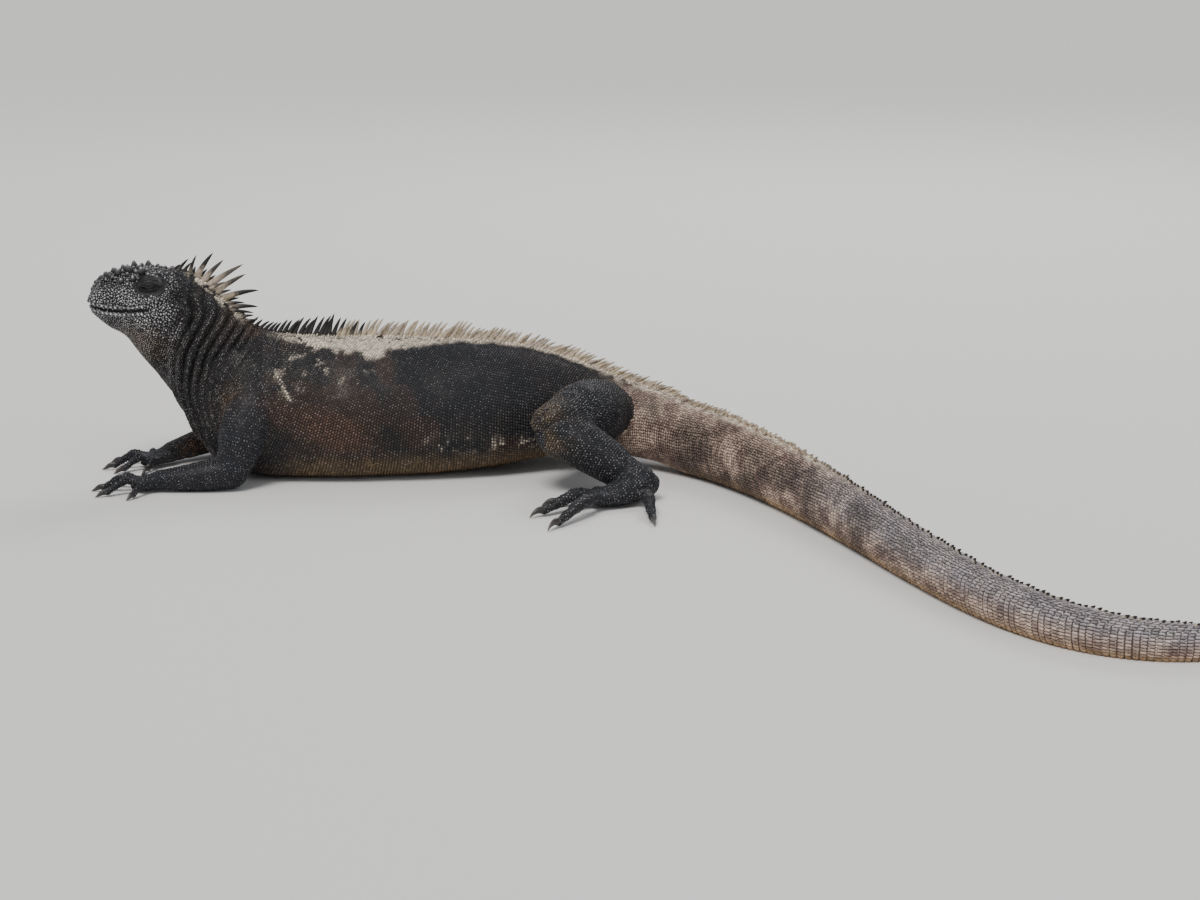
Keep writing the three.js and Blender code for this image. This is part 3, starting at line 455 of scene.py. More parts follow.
def closed_grid(points, first_pole, last_pole):
    """Joins a grid of rings into a closed net, with a pole point and a fan at each end."""
    rings, sides = points.shape[:2]
    k = np.arange(sides)
    r = np.arange(rings - 1)[:, None]
    a, b = r * sides + k, r * sides + (k + 1) % sides
    quads = np.stack([a, a + sides, b + sides, b], -1).reshape(-1, 4)
    low, high = rings * sides, rings * sides + 1
    last = (rings - 1) * sides
    start = np.stack([np.full(sides, low), k, (k + 1) % sides], -1)
    end = np.stack([np.full(sides, high), last + (k + 1) % sides, last + k], -1)
    verts = np.concatenate([points.reshape(-1, 3), [first_pole], [last_pole]])
    triangles = np.concatenate([quads[:, [0, 1, 2]], quads[:, [0, 2, 3]], start, end])
    p = verts[triangles]
    if np.einsum("ij,ij->", p[:, 0], np.cross(p[:, 1], p[:, 2])) < 0:
        triangles = triangles[:, ::-1]
    return verts, triangles


def write_mesh(name, verts, triangles, values=None, uvs=None, material=None):
    """Puts arrays of points in millimetres and triangles into a smooth-shaded object at the origin."""
    mesh = bpy.data.meshes.new(name)
    mesh.vertices.add(len(verts))
    mesh.vertices.foreach_set("co", (np.asarray(verts) * MM).astype(np.float32).ravel())
    mesh.loops.add(len(triangles) * 3)
    mesh.loops.foreach_set("vertex_index", np.asarray(triangles).astype(np.int32).ravel())
    mesh.polygons.add(len(triangles))
    mesh.polygons.foreach_set("loop_start", np.arange(0, len(triangles) * 3, 3, dtype=np.int32))
    mesh.update(calc_edges=True)
    mesh.polygons.foreach_set("use_smooth", np.ones(len(triangles), bool))
    for key, data in (values or {}).items():
        kind = "FLOAT_COLOR" if data.ndim == 2 else "FLOAT"
        layer = mesh.attributes.new(key, kind, "POINT")
        layer.data.foreach_set("color" if data.ndim == 2 else "value", data.astype(np.float32).ravel())
    if uvs is not None:
        layer = mesh.uv_layers.new(name="OFBake")
        layer.data.foreach_set("uv", uvs[np.asarray(triangles).ravel()].astype(np.float32).ravel())
    obj = bpy.data.objects.new(name, mesh)
    bpy.context.scene.collection.objects.link(obj)
    if material is not None:
        mesh.materials.append(material)
    return obj


def joined_arrays(parts):
    """Several (points, triangles) nets as one, with the triangles' numbers moved on."""
    offsets = np.cumsum([0] + [len(v) for v, _ in parts[:-1]])
    verts = np.concatenate([v for v, _ in parts])
    triangles = np.concatenate([t + o for (_, t), o in zip(parts, offsets)])
    return verts, triangles


def tube_net(surface, steps, sides, grow=0.0):
    """A tube's surface on a grid of t and angle, with domes at both ends."""
    t = np.concatenate([[-0.75, -0.45, -0.2], np.linspace(0, 1, steps), [1.2, 1.45, 1.75]])
    angle = np.arange(sides) / sides * TURN
    points = surface(t[:, None], angle[None, :], grow)
    poles = surface(np.array([-1.0, 2.0]), np.zeros(2), grow)
    return closed_grid(points, poles[0], poles[1])


def body_net(grow):
    """The body's surface on a grid of u and angle, finest on the head."""
    spans = ((-0.85, 0, 9), (0, NECK_U, 104), (NECK_U, TORSO_U, 76), (TORSO_U, RUMP_U, 76))
    u = np.concatenate([np.linspace(*span)[:-1] for span in spans] + [np.linspace(RUMP_U, TAIL_END_U, 130)])
    angle = np.arange(BODY_SIDES) / BODY_SIDES * TURN
    angle = np.where(angle > math.pi, angle - TURN, angle)
    points = body_surface(u[:, None], angle[None, :], grow)
    poles = body_surface(np.array([-1.0, TAIL_END_U + 0.05]), np.zeros(2), grow)
    poles[1] = points[-1].mean(0)
    return closed_grid(points, poles[0], poles[1])


def all_limbs():
    """Every limb's tubes: what they are, their surface, and the rings and sides of their net."""
    made = []
    for kind, limbs, digits in (("arm", ARMS, FINGERS), ("leg", LEGS, TOES)):
        for side, flip in (("left", -1), ("right", 1)):
            limb = limbs[side]
            main = math.radians(limb["heading"])
            palm_side = (-math.sin(main), math.cos(main), 0)
            for part, surface, rings, sides in (
                    ("upper", tube(*limb["upper"], muscle(0.06, 1.2)), 54, 44),
                    ("lower", tube(*limb["lower"], muscle(0.05, 0.6)), 50, 36),
                    ("palm", tube(*limb["palm"], palm_side), 12, 28)):
                made.append(dict(kind=kind, side=side, part=part, surface=surface, rings=rings, sides=sides))
            for i, numbers in enumerate(digits):
                flesh, nail, length = digit_parts(limb, numbers, flip)
                made.append(dict(kind=kind, side=side, part="digit", surface=flesh, nail=nail,
                                 rings=max(14, int(length * 0.7)), sides=14, index=i + 1))
    return made


def united(nets):
    """One closed skin from overlapping closed nets, by a Boolean union."""
    operands = bpy.data.collections.new("operands")
    bpy.context.scene.collection.children.link(operands)
    base = write_mesh("union_base", *nets[0])
    others = [write_mesh(f"union_{i}", *net) for i, net in enumerate(nets[1:])]
    for other in others:
        bpy.context.scene.collection.objects.unlink(other)
        operands.objects.link(other)
    boolean = base.modifiers.new("union", "BOOLEAN")
    boolean.operation = "UNION"
    boolean.solver = "MANIFOLD"
    boolean.operand_type = "COLLECTION"
    boolean.collection = operands
    bpy.context.view_layer.update()
    mesh = bpy.data.meshes.new_from_object(base.evaluated_get(bpy.context.evaluated_depsgraph_get()))
    mesh.calc_loop_triangles()
    verts = np.empty(len(mesh.vertices) * 3, np.float32)
    mesh.vertices.foreach_get("co", verts)
    triangles = np.empty(len(mesh.loop_triangles) * 3, np.int32)
    mesh.loop_triangles.foreach_get("vertices", triangles)
    for obj in [base, *others]:
        bpy.data.objects.remove(obj)
    bpy.data.collections.remove(operands)
    return verts.reshape(-1, 3).astype(float) / MM, triangles.reshape(-1, 3)


# Where limbs flow into the body and into each other: centre and reach of the softening
JUNCTIONS = [
    ((-90, -42, 52), 40), ((-92, 36, 50), 40), ((-104, -62, 14), 24), ((-116, 41, 18), 24),
    ((-150, -66, 8), 14), ((-157, 6, 8), 14), ((-162, -67, 6), 20), ((-168, -3, 6), 20),
    ((128, -30, 42), 44), ((128, 52, 38), 44), ((109, -65, 42), 32), ((108, 85, 33), 32),
    ((163, -87, 12), 22), ((157, 110, 12), 22), ((142, -103, 8), 26), ((136, 122, 8), 26),
]


def softened(verts, triangles):
    """Rounds the creases where limbs join: points on sharp edges near a junction, and their neighbours, move
    again and again towards the mean of the points next to them."""
    edges = np.concatenate([triangles[:, [0, 1]], triangles[:, [1, 2]], triangles[:, [2, 0]]])
    face = np.tile(np.arange(len(triangles)), 3)
    p = verts[triangles]
    normal = unit(np.cross(p[:, 1] - p[:, 0], p[:, 2] - p[:, 0]))
    order = np.lexsort((edges.max(1), edges.min(1)))
    first, second = order[0::2], order[1::2]
    bent = np.sum(normal[face[first]] * normal[face[second]], -1) < math.cos(0.5)
    near = np.zeros(len(verts), bool)
    for centre, reach in JUNCTIONS:
        near |= np.linalg.norm(verts - np.array(centre), axis=1) < reach
    weight = np.zeros(len(verts))
    weight[edges[first][bent].ravel()] = 1
    weight *= near
    pairs = edges[first]
    count = np.bincount(pairs.ravel(), minlength=len(verts)).astype(float)

    def neighbour_mean(values):
        total = np.zeros_like(values)
        np.add.at(total, pairs[:, 0], values[pairs[:, 1]])
        np.add.at(total, pairs[:, 1], values[pairs[:, 0]])
        return total / (count if values.ndim == 1 else count[:, None])

    for _ in range(3):
        weight = np.maximum(weight, neighbour_mean(weight) * 1.5 * near)
    weight = np.clip(weight, 0, 1)
    for _ in range(26):
        verts = verts + (neighbour_mean(verts) - verts) * (weight * 0.6)[:, None]
    verts[:, 2] = np.maximum(verts[:, 2], FLOOR_GAP)
    return verts


# Scales

HEX = np.arange(6) / 6 * TURN
OCT = (np.arange(8) + 0.5) / 8 * TURN


def scale_form(angles, rings, squareness=2.0, apex=(0, 0, 1)):
    """A scale's net: rings of (share of the outline, height, shift back), then one apex. The outline is a
    superellipse."""
    c, n = np.cos(angles), np.sin(angles)
    outline = np.stack([np.sign(v) * np.abs(v) ** (2 / squareness) for v in (c, n)], -1)
    points = [np.column_stack([outline * share + [shift, 0], np.full(len(angles), z)])
              for share, z, shift in rings]
    sides = len(angles)
    k = np.arange(sides)
    faces = []
    for r in range(len(rings) - 1):
        a, b = r * sides + k, r * sides + (k + 1) % sides
        faces += [np.stack([a, b, b + sides], -1), np.stack([a, b + sides, a + sides], -1)]
    last = (len(rings) - 1) * sides
    faces.append(np.stack([last + k, last + (k + 1) % sides, np.full(sides, last + sides)], -1))
    verts = np.concatenate(points + [np.array([apex], float)])
    rise = np.concatenate([np.full(sides, i / len(rings)) for i in range(len(rings))] + [[1.0]])
    return verts, np.concatenate(faces), rise


FORMS = {
    "grain": scale_form(HEX, [(1.0, -0.5, 0), (0.74, 0.6, 0.04)], 2.0, (0.12, 0, 1)),
    "keel": scale_form(OCT, [(1.0, -0.5, 0), (0.82, 0.4, 0.08)], 3.4, (0.5, 0, 1)),
    "dome": scale_form(OCT, [(1.0, -0.5, 0), (0.86, 0.3, 0), (0.5, 0.82, 0)], 2.2, (0, 0, 1)),
    "boss": scale_form(HEX, [(1.0, -0.4, 0), (0.85, 0.26, 0), (0.5, 0.66, 0.08), (0.24, 0.9, 0.12)], 2.1,
                       (0.14, 0, 1)),
    "cone": scale_form(HEX, [(1.0, -0.35, 0), (0.72, 0.28, 0.1), (0.3, 0.75, 0.5)], 2.3, (0.9, 0, 1)),
    "plate": scale_form(OCT, [(1.0, -0.5, 0), (0.86, 0.55, 0)], 3.4, (0, 0, 1)),
}


def upright(t, angle):
    """No slant."""
    return 0 * t * angle


def scale_rows(surface, start, end, pitch, width, rng, stagger=True, window=(0, math.pi), jitter=0.1,
               slant=upright):
    """Rows of scales round a surface: rows are a pitch apart along it on average, and each row has its
    perimeter over the width as its count, every second row moved by half a scale. slant moves a row along the
    surface as it comes round to the crest."""
    loose = jitter if callable(jitter) else lambda t: jitter
    t = np.linspace(start, end, 500)
    angle = np.linspace(-math.pi, math.pi, 97)
    net = surface(t[:, None], angle[None, :-1])
    step = np.linalg.norm(np.diff(net, axis=0), axis=-1).mean(1)
    middle = (t[1:] + t[:-1]) / 2
    rows = np.concatenate([[0], np.cumsum(step / pitch(middle))])
    count = int(rows[-1])
    row_t = np.interp(np.arange(count) + 0.5, rows, t)
    row_low = np.interp(np.arange(count), rows, t)
    row_high = np.interp(np.arange(count) + 1, rows, t)
    found = []
    for k in range(count):
        ring = surface(row_t[k] + slant(row_t[k], angle), angle)
        reach = np.concatenate([[0], np.cumsum(np.linalg.norm(np.diff(ring, axis=0), axis=1))])
        number = max(6, int(round(reach[-1] / width(row_t[k]))))
        offset = 0.5 * (k % 2) if stagger else 0.25
        scatter = rng.uniform(-1, 1, number) * loose(row_t[k])
        spots = (np.arange(number) + offset + scatter) / number * reach[-1]
        turn = np.interp(spots % reach[-1], reach, angle)
        kept = (np.abs(turn) >= window[0]) & (np.abs(turn) <= window[1])
        n = int(kept.sum())
        found.append(np.column_stack([np.full(n, row_t[k]), turn[kept], np.full(n, row_low[k]),
                                      np.full(n, row_high[k]), np.full(n, 0.5 * reach[-1] / number)]))
    t, turn, low, high, half_width = np.concatenate(found).T
    scatter = np.vectorize(loose)(t) if callable(jitter) else jitter
    t = t + rng.uniform(-1, 1, len(t)) * scatter * (high - low)
    low, high, t = low + slant(low, turn), high + slant(high, turn), t + slant(t, turn)
    centre = surface(t, turn)
    before, after = surface(low, turn), surface(high, turn)
    half_length = 0.5 * np.linalg.norm(after - before, axis=1)
    tick = 0.02
    sideways = surface(t + slant(t, turn + tick) - slant(t, turn), turn + tick) - surface(t, turn)
    return dict(t=t, turn=turn, centre=centre, forward=unit(after - before), sideways=unit(sideways),
                half_length=half_length, half_width=half_width,
                uv=np.column_stack([(t - start) / (end - start), turn / TURN + 0.5]))


def picked(rows, keep):
    return {key: value[keep] for key, value in rows.items()}


def grouped(several):
    return {key: np.concatenate([rows[key] for rows in several]) for key in several[0]}


def twisted(rows, rng, amount):
    """The same scales, each turned about its own normal by a random angle of up to this amount."""
    a = rng.uniform(-amount, amount, len(rows["t"]))[:, None]
    forward = rows["forward"] * np.cos(a) + rows["sideways"] * np.sin(a)
    sideways = rows["sideways"] * np.cos(a) - rows["forward"] * np.sin(a)
    return dict(rows, forward=forward, sideways=sideways)


class Skin:
    """The finished skin as a search tree, to set scales on it."""

    def __init__(self, verts, triangles):
        self.tree = BVHTree.FromPolygons(verts.tolist(), triangles.tolist(), all_triangles=True)

    def nearest(self, points, reach):
        place = np.zeros((len(points), 3))
        normal = np.zeros((len(points), 3))
        hit = np.zeros(len(points), bool)
        for i, p in enumerate(points.tolist()):
            found = self.tree.find_nearest(p, reach)
            if found[0] is not None:
                place[i], normal[i], hit[i] = found[0], found[1], True
        return place, normal, hit


COAT = []


def on_floor(place, normal):
    """True where the skin is pressed on the floor."""
    return (place[:, 2] < 0.45) & (normal[:, 2] < -0.7)


def lay(piece, rows, form, height, spread=(1.04, 1.04), reach=2.6, settled=None):
    """Notes a set of scales for a coat piece, moved onto the skin. Those with no skin near them are left out,
    and so are those pressed on the floor."""
    place, normal, hit = settled or skin.nearest(rows["centre"], reach)
    hit = hit & ~on_floor(place, normal)
    n = len(hit)
    rows = dict(rows, place=place, normal=normal, height=np.zeros(n) + height)
    marks, more = markings(rows)
    rows.update(marks=marks, more=more)
    COAT.append(dict(piece=piece, form=form, spread=spread, rows=picked(rows, hit)))


def thin_out(share):
    """Drops each scale that is nearer to one laid before it than this share of their mean width."""
    places = np.concatenate([s["rows"]["place"] for s in COAT])
    sizes = np.concatenate([2 * np.minimum(s["rows"]["half_length"], s["rows"]["half_width"]) for s in COAT])
    tree = kd_tree(places)
    widest = sizes.max()
    kept = np.ones(len(places), bool)
    for i, (p, size) in enumerate(zip(places.tolist(), sizes.tolist())):
        for _, j, distance in tree.find_range(p, share * (size + widest) / 2):
            if j < i and kept[j] and distance < share * (size + sizes[j]) / 2:
                kept[i] = False
                break
    start = 0
    for s in COAT:
        n = len(s["rows"]["t"])
        s["rows"] = picked(s["rows"], kept[start:start + n])
        start += n


def fill_gaps(width, share):
    """Small round scales wherever the skin lies bare: at skin points farther from every scale, and from each
    other, than a share of their mean width. Eyes, ears, nostrils and the line of the mouth stay clear."""
    places, sizes, marks, more, uv = (np.concatenate([s["rows"][key] for s in COAT])
                                      for key in ("place", "half_width", "marks", "more", "uv"))
    p = skin_verts[skin_faces]
    facing = np.cross(p[:, 1] - p[:, 0], p[:, 2] - p[:, 0])
    normal = np.zeros_like(skin_verts)
    for corner in range(3):
        np.add.at(normal, skin_faces[:, corner], facing)
    points = np.concatenate([skin_verts, p.mean(1)])
    normal = unit(np.concatenate([normal, facing]))
    clear = np.ones(len(points), bool)
    for flip in (-1, 1):
        for feature, side, reach in ((EYE, 22, 7.8), (EAR, 28, 4.4), (NOSTRIL, 18, 3.0)):
            centre = bend(np.array([feature["along"], flip * side, feature["height"]]))
            clear &= np.linalg.norm(points - centre, axis=1) > reach
    clear &= (points[:, 0] > -157) | (np.abs(points[:, 2] - mouth_height(points[:, 0])) > 1.3)
    clear &= ~on_floor(points, normal)
    points, normal = points[clear], normal[clear]
    tree = kd_tree(places)
    chosen, owner = [], []
    for i, spot in enumerate(points.tolist()):
        _, j, distance = tree.find(spot)
        if share * (width + 2 * sizes[j]) / 2 < distance < 12:
            chosen.append(i)
            owner.append(j)
    points, normal, owner = points[chosen], normal[chosen], np.array(owner, int)
    tree = kd_tree(points)
    kept = np.ones(len(points), bool)
    for i, spot in enumerate(points.tolist()):
        if kept[i]:
            for _, j, _ in tree.find_range(spot, 0.85 * width):
                kept[j] = j <= i and kept[j]
    points, normal, owner = points[kept], normal[kept], owner[kept]
    n = len(points)
    forward = unit(np.cross(normal, [0.3, 0.2, 1.0]))
    rows = dict(
        t=np.zeros(n), place=points, normal=normal, forward=forward, sideways=np.cross(normal, forward),
        half_length=np.full(n, width / 2), half_width=np.full(n, width / 2), height=np.full(n, 0.45),
        uv=uv[owner], marks=marks[owner], more=more[owner])
    for end, there in (("front", points[:, 0] < 60), ("rear", points[:, 0] >= 60)):
        COAT.append(dict(piece=f"coat_filler_{end}", form="grain", spread=(1, 1), rows=picked(rows, there)))


def kd_tree(points):
    tree = KDTree(len(points))
    for i, p in enumerate(points.tolist()):
        tree.insert(p, i)
    tree.balance()
    return tree


def scale_net(rows, form, spread):
    """A scale form copied to each place: x along the body, y along the row and z along the skin's normal,
    scaled by the scale's own half sizes and height."""
    place, normal = rows["place"], unit(rows["normal"])
    forward, sideways = (unit(rows[key] - normal * np.sum(rows[key] * normal, -1, keepdims=True))
                         for key in ("forward", "sideways"))
    handed = np.sign(np.sum(np.cross(forward, sideways) * normal, -1, keepdims=True))
    sideways = sideways * handed
    verts, faces, rise = FORMS[form]
    x = verts[None, :, 0, None] * (rows["half_length"] * spread[0])[:, None, None] * forward[:, None, :]
    y = verts[None, :, 1, None] * (rows["half_width"] * spread[1])[:, None, None] * sideways[:, None, :]
    z = verts[None, :, 2, None] * rows["height"][:, None, None] * normal[:, None, :]
    points = place[:, None, :] + x + y + z
    points[..., 2] = np.maximum(points[..., 2], 0.05)
    n = len(place)
    tone = np.repeat(np.random.default_rng(n).random(n), len(verts))
    uv = (np.clip(rows["uv"], 0.004, 0.996)[:, None, :] + verts[None, :, :2] * 0.0015).reshape(-1, 2)
    faces = (np.arange(n)[:, None, None] * len(verts) + faces[None]).reshape(-1, 3)
    marks, more = (np.repeat(rows[key], len(verts), axis=0) for key in ("marks", "more"))
    return dict(verts=points.reshape(-1, 3), faces=faces, uv=uv, rise=np.tile(rise, n), tone=tone,
                marks=marks, more=more)


def build_coat(material):
    """Joins the noted sets into their coat pieces."""
    for piece in dict.fromkeys(s["piece"] for s in COAT):
        sets = [scale_net(s["rows"], s["form"], s["spread"]) for s in COAT if s["piece"] == piece]
        verts, faces = joined_arrays([(s["verts"], s["faces"]) for s in sets])
        values = {key: np.concatenate([s[key] for s in sets]) for key in ("rise", "tone", "marks", "more")}
        obj = write_mesh(piece, verts, faces, values, np.concatenate([s["uv"] for s in sets]), material)
        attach(obj, "root")
        print(piece, len(faces), "triangles")


# Markings, worked out from where a scale is

def markings(rows):
    """Strengths of the animal's colours, of painted shade and of painted highlights at each scale. marks:
    pale, rust, tan, dark, where dark holds dark marks with the painted shade of the armpit and of the neck
    folds' furrows
    among them. more: warm tail, orange underside, blue-grey, and the strength of painted highlights on the
    scales' tops. Each is a product of smooth steps and bells in distance along the body, height and share of
    the way round from the crest, broken up by noise."""
    p = rows["centre"]
    limb = rows["limb"]
    straight = rows["straight"]
    body = limb == 0
    flesh = np.where(body, 1, rows["onto"])
    along = np.where(body, straight[:, 0], p[:, 0])
    girth = np.where(body, np.abs(rows["turn"]) / math.pi, 0.5)
    height = p[:, 2]
    speck, patch, large = cloud(p, 4, 21), cloud(p, 10, 23), cloud(p, 26, 22)

    reach = (0.045 + 0.115 * bump(along, -28, 40)) * (0.5 + patch)
    pale = between(along, -92, -58, 130, 190) * smoothstep(reach + 0.02, reach - 0.02, girth)
    pale = pale * smoothstep(0.22, 0.45, speck)
    nape = between(along, -140, -131, -108, -98) * smoothstep(0.11, 0.06, girth)
    pale = np.maximum(pale, nape * smoothstep(0.38, 0.52, speck))
    top = between(along, 120, 160, 300, 440) * smoothstep(0.14, 0.05, girth)
    pale = np.maximum(pale, 0.85 * top * smoothstep(0.3, 0.5, speck))
    peel = bump(height, 28 - 0.05 * along, 4) * smoothstep(10, 25, along) * smoothstep(105, 80, along)
    pale = np.maximum(pale, 0.6 * peel * smoothstep(0.56, 0.66, cloud(p, 5, 28)))
    flecks = between(along, -100, -70, -50, 0) * smoothstep(0.4, 0.2, girth)
    pale = np.maximum(pale, 0.45 * flecks * smoothstep(0.62, 0.72, cloud(p, 5, 27)))
    scar_start, scar = np.array([-76, 73]), np.array([10, -17])
    share = np.clip((p[:, [0, 2]] - scar_start) @ scar / (scar @ scar), 0, 1)
    to_scar = np.linalg.norm(p[:, [0, 2]] - scar_start - share[:, None] * scar, axis=1)
    pale = flesh * np.maximum(pale, 0.9 * (p[:, 1] < 0) * bump(to_scar, 0, 0.9))

    heart = np.hypot((along + 50 + 0.5 * (height - 42)) / 34, (height - 40) / 21)
    rust = flesh * smoothstep(1.3, 0.5, heart + 1.1 * (large - 0.5))
    veil = between(along, -125, -95, 60, 120) * smoothstep(0.48, 0.6, large)
    rust = np.maximum(rust, flesh * 0.35 * veil)
    tan = smoothstep(24, 10, height + 12 * (patch - 0.5)) * between(along, -90, -60, 110, 150)
    tan = np.maximum(tan, 0.5 * bump(along, -166, 17) * bump(height, 92, 11))
    tan = np.maximum(tan, 0.45 * bump(along, -108, 7) * bump(height, 52, 14))
    tan = flesh * np.maximum(tan, 0.3 * smoothstep(0.42, 0.6, patch) * rust)
    # hollow: painted shade in the armpit behind the foreleg
    hollow = bump(along, -78, 12) * bump(height, 28, 18)
    spot = bump(np.hypot((along + 6) / 9, (height - 33) / 10), 0, 1)
    where, wave = neck_folds(straight)
    saddle = 0.5 + 0.5 * np.cos(TURN * (along - 186 + 16 * (patch - 0.5)) / 31)
    blots = between(along, 160, 178, 240, 300) * smoothstep(0.3, 0.95, saddle)
    blots = 0.6 * blots * bump(girth, 0.27, 0.13)
    blots = np.maximum(blots, between(along, 180, 215, 400, 560) * smoothstep(0.46, 0.68, cloud(p, 24, 31))
                       * smoothstep(0.12, 0.3, girth) * 0.62)
    to_ear = from_feature(EAR, along, straight[:, 2])
    ear = 0.85 * bump(to_ear, 0, 3.6) * (np.abs(straight[:, 1]) > 10)
    mouth = mouth_height(along)
    slit = smoothstep(-155, -160, along) * bump(straight[:, 2], mouth, 1.1)
    # Painted shade in the furrows of the neck folds
    furrows = 0.85 * where * (1 - wave) ** 1.6
    dark = flesh * np.max([0.85 * hollow, 0.8 * spot, furrows, blots, slit, ear], axis=0)

    warm = smoothstep(108, 168, along + 46 * (0.45 - np.abs(girth - 0.5)) * 2 - 30 + 26 * (patch - 0.5))
    orange = body * smoothstep(180, 260, along) * smoothstep(0.64, 0.84, girth)
    blue = smoothstep(300, 460, along) * smoothstep(0.66, 0.3, girth)
    blue = np.maximum(blue, 0.7 * smoothstep(-125, -150, along) * smoothstep(85, 110, height))
    blue = np.maximum(blue, 0.8 * between(along, -60, 0, 90, 130) * smoothstep(35, 55, height))
    blue = blue * flesh + 0.9 * (1 - flesh)
    # Strength of painted highlights on the scales' tops: strongest on the snout, cheeks, jowls and lips and
    # on the ridges of the neck folds, weaker on the limbs and the body, none on the tail
    glint_strength = 0.7 * smoothstep(-128, -140, along) * bump(height, 98, 13)
    lips = smoothstep(-150, -160, along) * bump(straight[:, 2], mouth + 5, 5) * smoothstep(0.35, 0.6, speck)
    snout = smoothstep(-138, -152, along) * smoothstep(96, 112, height)
    cheek = smoothstep(-132, -146, along) * (0.5 + 0.25 * smoothstep(0.4, 0.6, patch)) + 0.3 * snout
    ridges = 0.55 * where * wave ** 2
    glint_strength = np.max([glint_strength, lips, cheek, ridges, 0.1 + 0.12 * smoothstep(-40, -90, along)], axis=0)
    on_limb = np.where(limb == 1, 0.2, 0.32)
    glint_strength = glint_strength * (1 - smoothstep(120, 160, along)) * flesh + on_limb * (1 - flesh)
    knee = (limb == 2) * bump(p[:, 0], 102, 13) * bump(height, 42, 22)
    tan = np.maximum(tan, 0.8 * knee * smoothstep(0.3, 0.6, patch))
    wrist = (limb == 1) * smoothstep(-2, 8, p[:, 1]) * bump(height, 10, 9) * smoothstep(-158, -142, p[:, 0])
    rust = np.maximum(rust, wrist * smoothstep(0.35, 0.5, patch))
    tan = np.maximum(tan, wrist * smoothstep(0.45, 0.6, speck))
    marks = np.column_stack([pale, rust, tan, dark])
    more = np.column_stack([body * warm, orange, blue, glint_strength])
    return np.clip(marks, 0, 1), np.clip(more, 0, 1)


# Materials

class Value:
    """A shader socket on which Python's operators add Math nodes."""

    def __init__(self, paint, socket):
        self.paint = paint
        self.socket = socket

    def __add__(self, other):
        return self.paint.math("ADD", self, other)

    def __radd__(self, other):
        return self.paint.math("ADD", other, self)

    def __sub__(self, other):
        return self.paint.math("SUBTRACT", self, other)

    def __rsub__(self, other):
        return self.paint.math("SUBTRACT", other, self)

    def __mul__(self, other):
        return self.paint.math("MULTIPLY", self, other)

    def __rmul__(self, other):
        return self.paint.math("MULTIPLY", other, self)

    def __truediv__(self, other):
        return self.paint.math("DIVIDE", self, other)

    def __pow__(self, other):
        return self.paint.math("POWER", self, other)


class Paint:
    """A material under construction: one method adds any node."""

    def __init__(self, name, **constants):
        self.material = bpy.data.materials.new(name)
        self.material.use_nodes = True
        self.tree = self.material.node_tree
        self.shader = self.tree.nodes["Principled BSDF"]
        for socket, value in constants.items():
            self.shader.inputs[socket.replace("_", " ")].default_value = value

    def node(self, kind, settings=None, inputs=None, output=0):
        made = self.tree.nodes.new(kind)
        for key, value in (settings or {}).items():
            if key == "stops":
                ramp = made.color_ramp
                while len(ramp.elements) < len(value):
                    ramp.elements.new(0.5)
                for element, (position, colour) in zip(ramp.elements, value):
                    element.position = position
                    element.color = (*colour, 1)
            else:
                setattr(made, key, value)
        for key, value in (inputs or {}).items():
            self.feed(made.inputs[key], value)
        return Value(self, made.outputs[output])

    def feed(self, socket, value):
        if isinstance(value, Value):
            self.tree.links.new(value.socket, socket)
        elif isinstance(value, tuple) and len(value) == 3 and socket.type == "RGBA":
            socket.default_value = (*value, 1)
        else:
            socket.default_value = value

    def math(self, operation, a, b=0.5):
        return self.node("ShaderNodeMath", {"operation": operation}, {0: a, 1: b})

    def clamp(self, a):
        return self.node("ShaderNodeMath", {"operation": "ADD", "use_clamp": True}, {0: a, 1: 0.0})

    def step(self, a, low, high):
        return self.node("ShaderNodeMapRange", {"interpolation_type": "SMOOTHSTEP"},
                         {"Value": a, "From Min": low, "From Max": high})

    def mix(self, factor, a, b, blend="MIX"):
        return self.node("ShaderNodeMix", {"data_type": "RGBA", "blend_type": blend},
                         {0: factor, 6: a, 7: b}, output=2)

    def place(self):
        return self.node("ShaderNodeTexCoord", output=3)

    def noise(self, scale, detail=3.0, roughness=0.55, stretch=None):
        where = self.place()
        if stretch:
            where = self.node("ShaderNodeMapping", {}, {"Vector": where, "Scale": stretch})
        return self.node("ShaderNodeTexNoise", {}, {"Vector": where, "Scale": scale, "Detail": detail,
                                                    "Roughness": roughness})

    def attribute(self, name, output=2):
        return self.node("ShaderNodeAttribute", {"attribute_name": name}, output=output)

    def channels(self, name):
        colour = self.attribute(name, 0)
        split = self.tree.nodes.new("ShaderNodeSeparateColor")
        self.tree.links.new(colour.socket, split.inputs[0])
        return [Value(self, o) for o in split.outputs] + [self.attribute(name, 3)]

    def bump(self, height, distance, strength=1.0):
        return self.node("ShaderNodeBump", {}, {"Height": height, "Distance": distance, "Strength": strength})

    def finish(self, **inputs):
        for socket, value in inputs.items():
            self.feed(self.shader.inputs[socket.replace("_", " ")], value)
        return self.material


CHARCOAL = (0.016, 0.015, 0.018)
UMBER = (0.030, 0.022, 0.020)
NEAR_BLACK = (0.009, 0.009, 0.010)
SLATE = (0.019, 0.021, 0.029)
CREAM = (0.80, 0.70, 0.57)
RUST = (0.115, 0.058, 0.037)
OLIVE_TAN = (0.19, 0.125, 0.060)
TAIL_TAN = (0.55, 0.41, 0.325)
TAIL_ROSE = (0.25, 0.165, 0.135)
TAIL_GREY = (0.36, 0.345, 0.37)
ORANGE_TAN = (0.44, 0.28, 0.14)
# The colour of the painted highlights on the scales' tops
GLINT_GREY = (0.66, 0.65, 0.65)
BONE = (0.72, 0.60, 0.40)


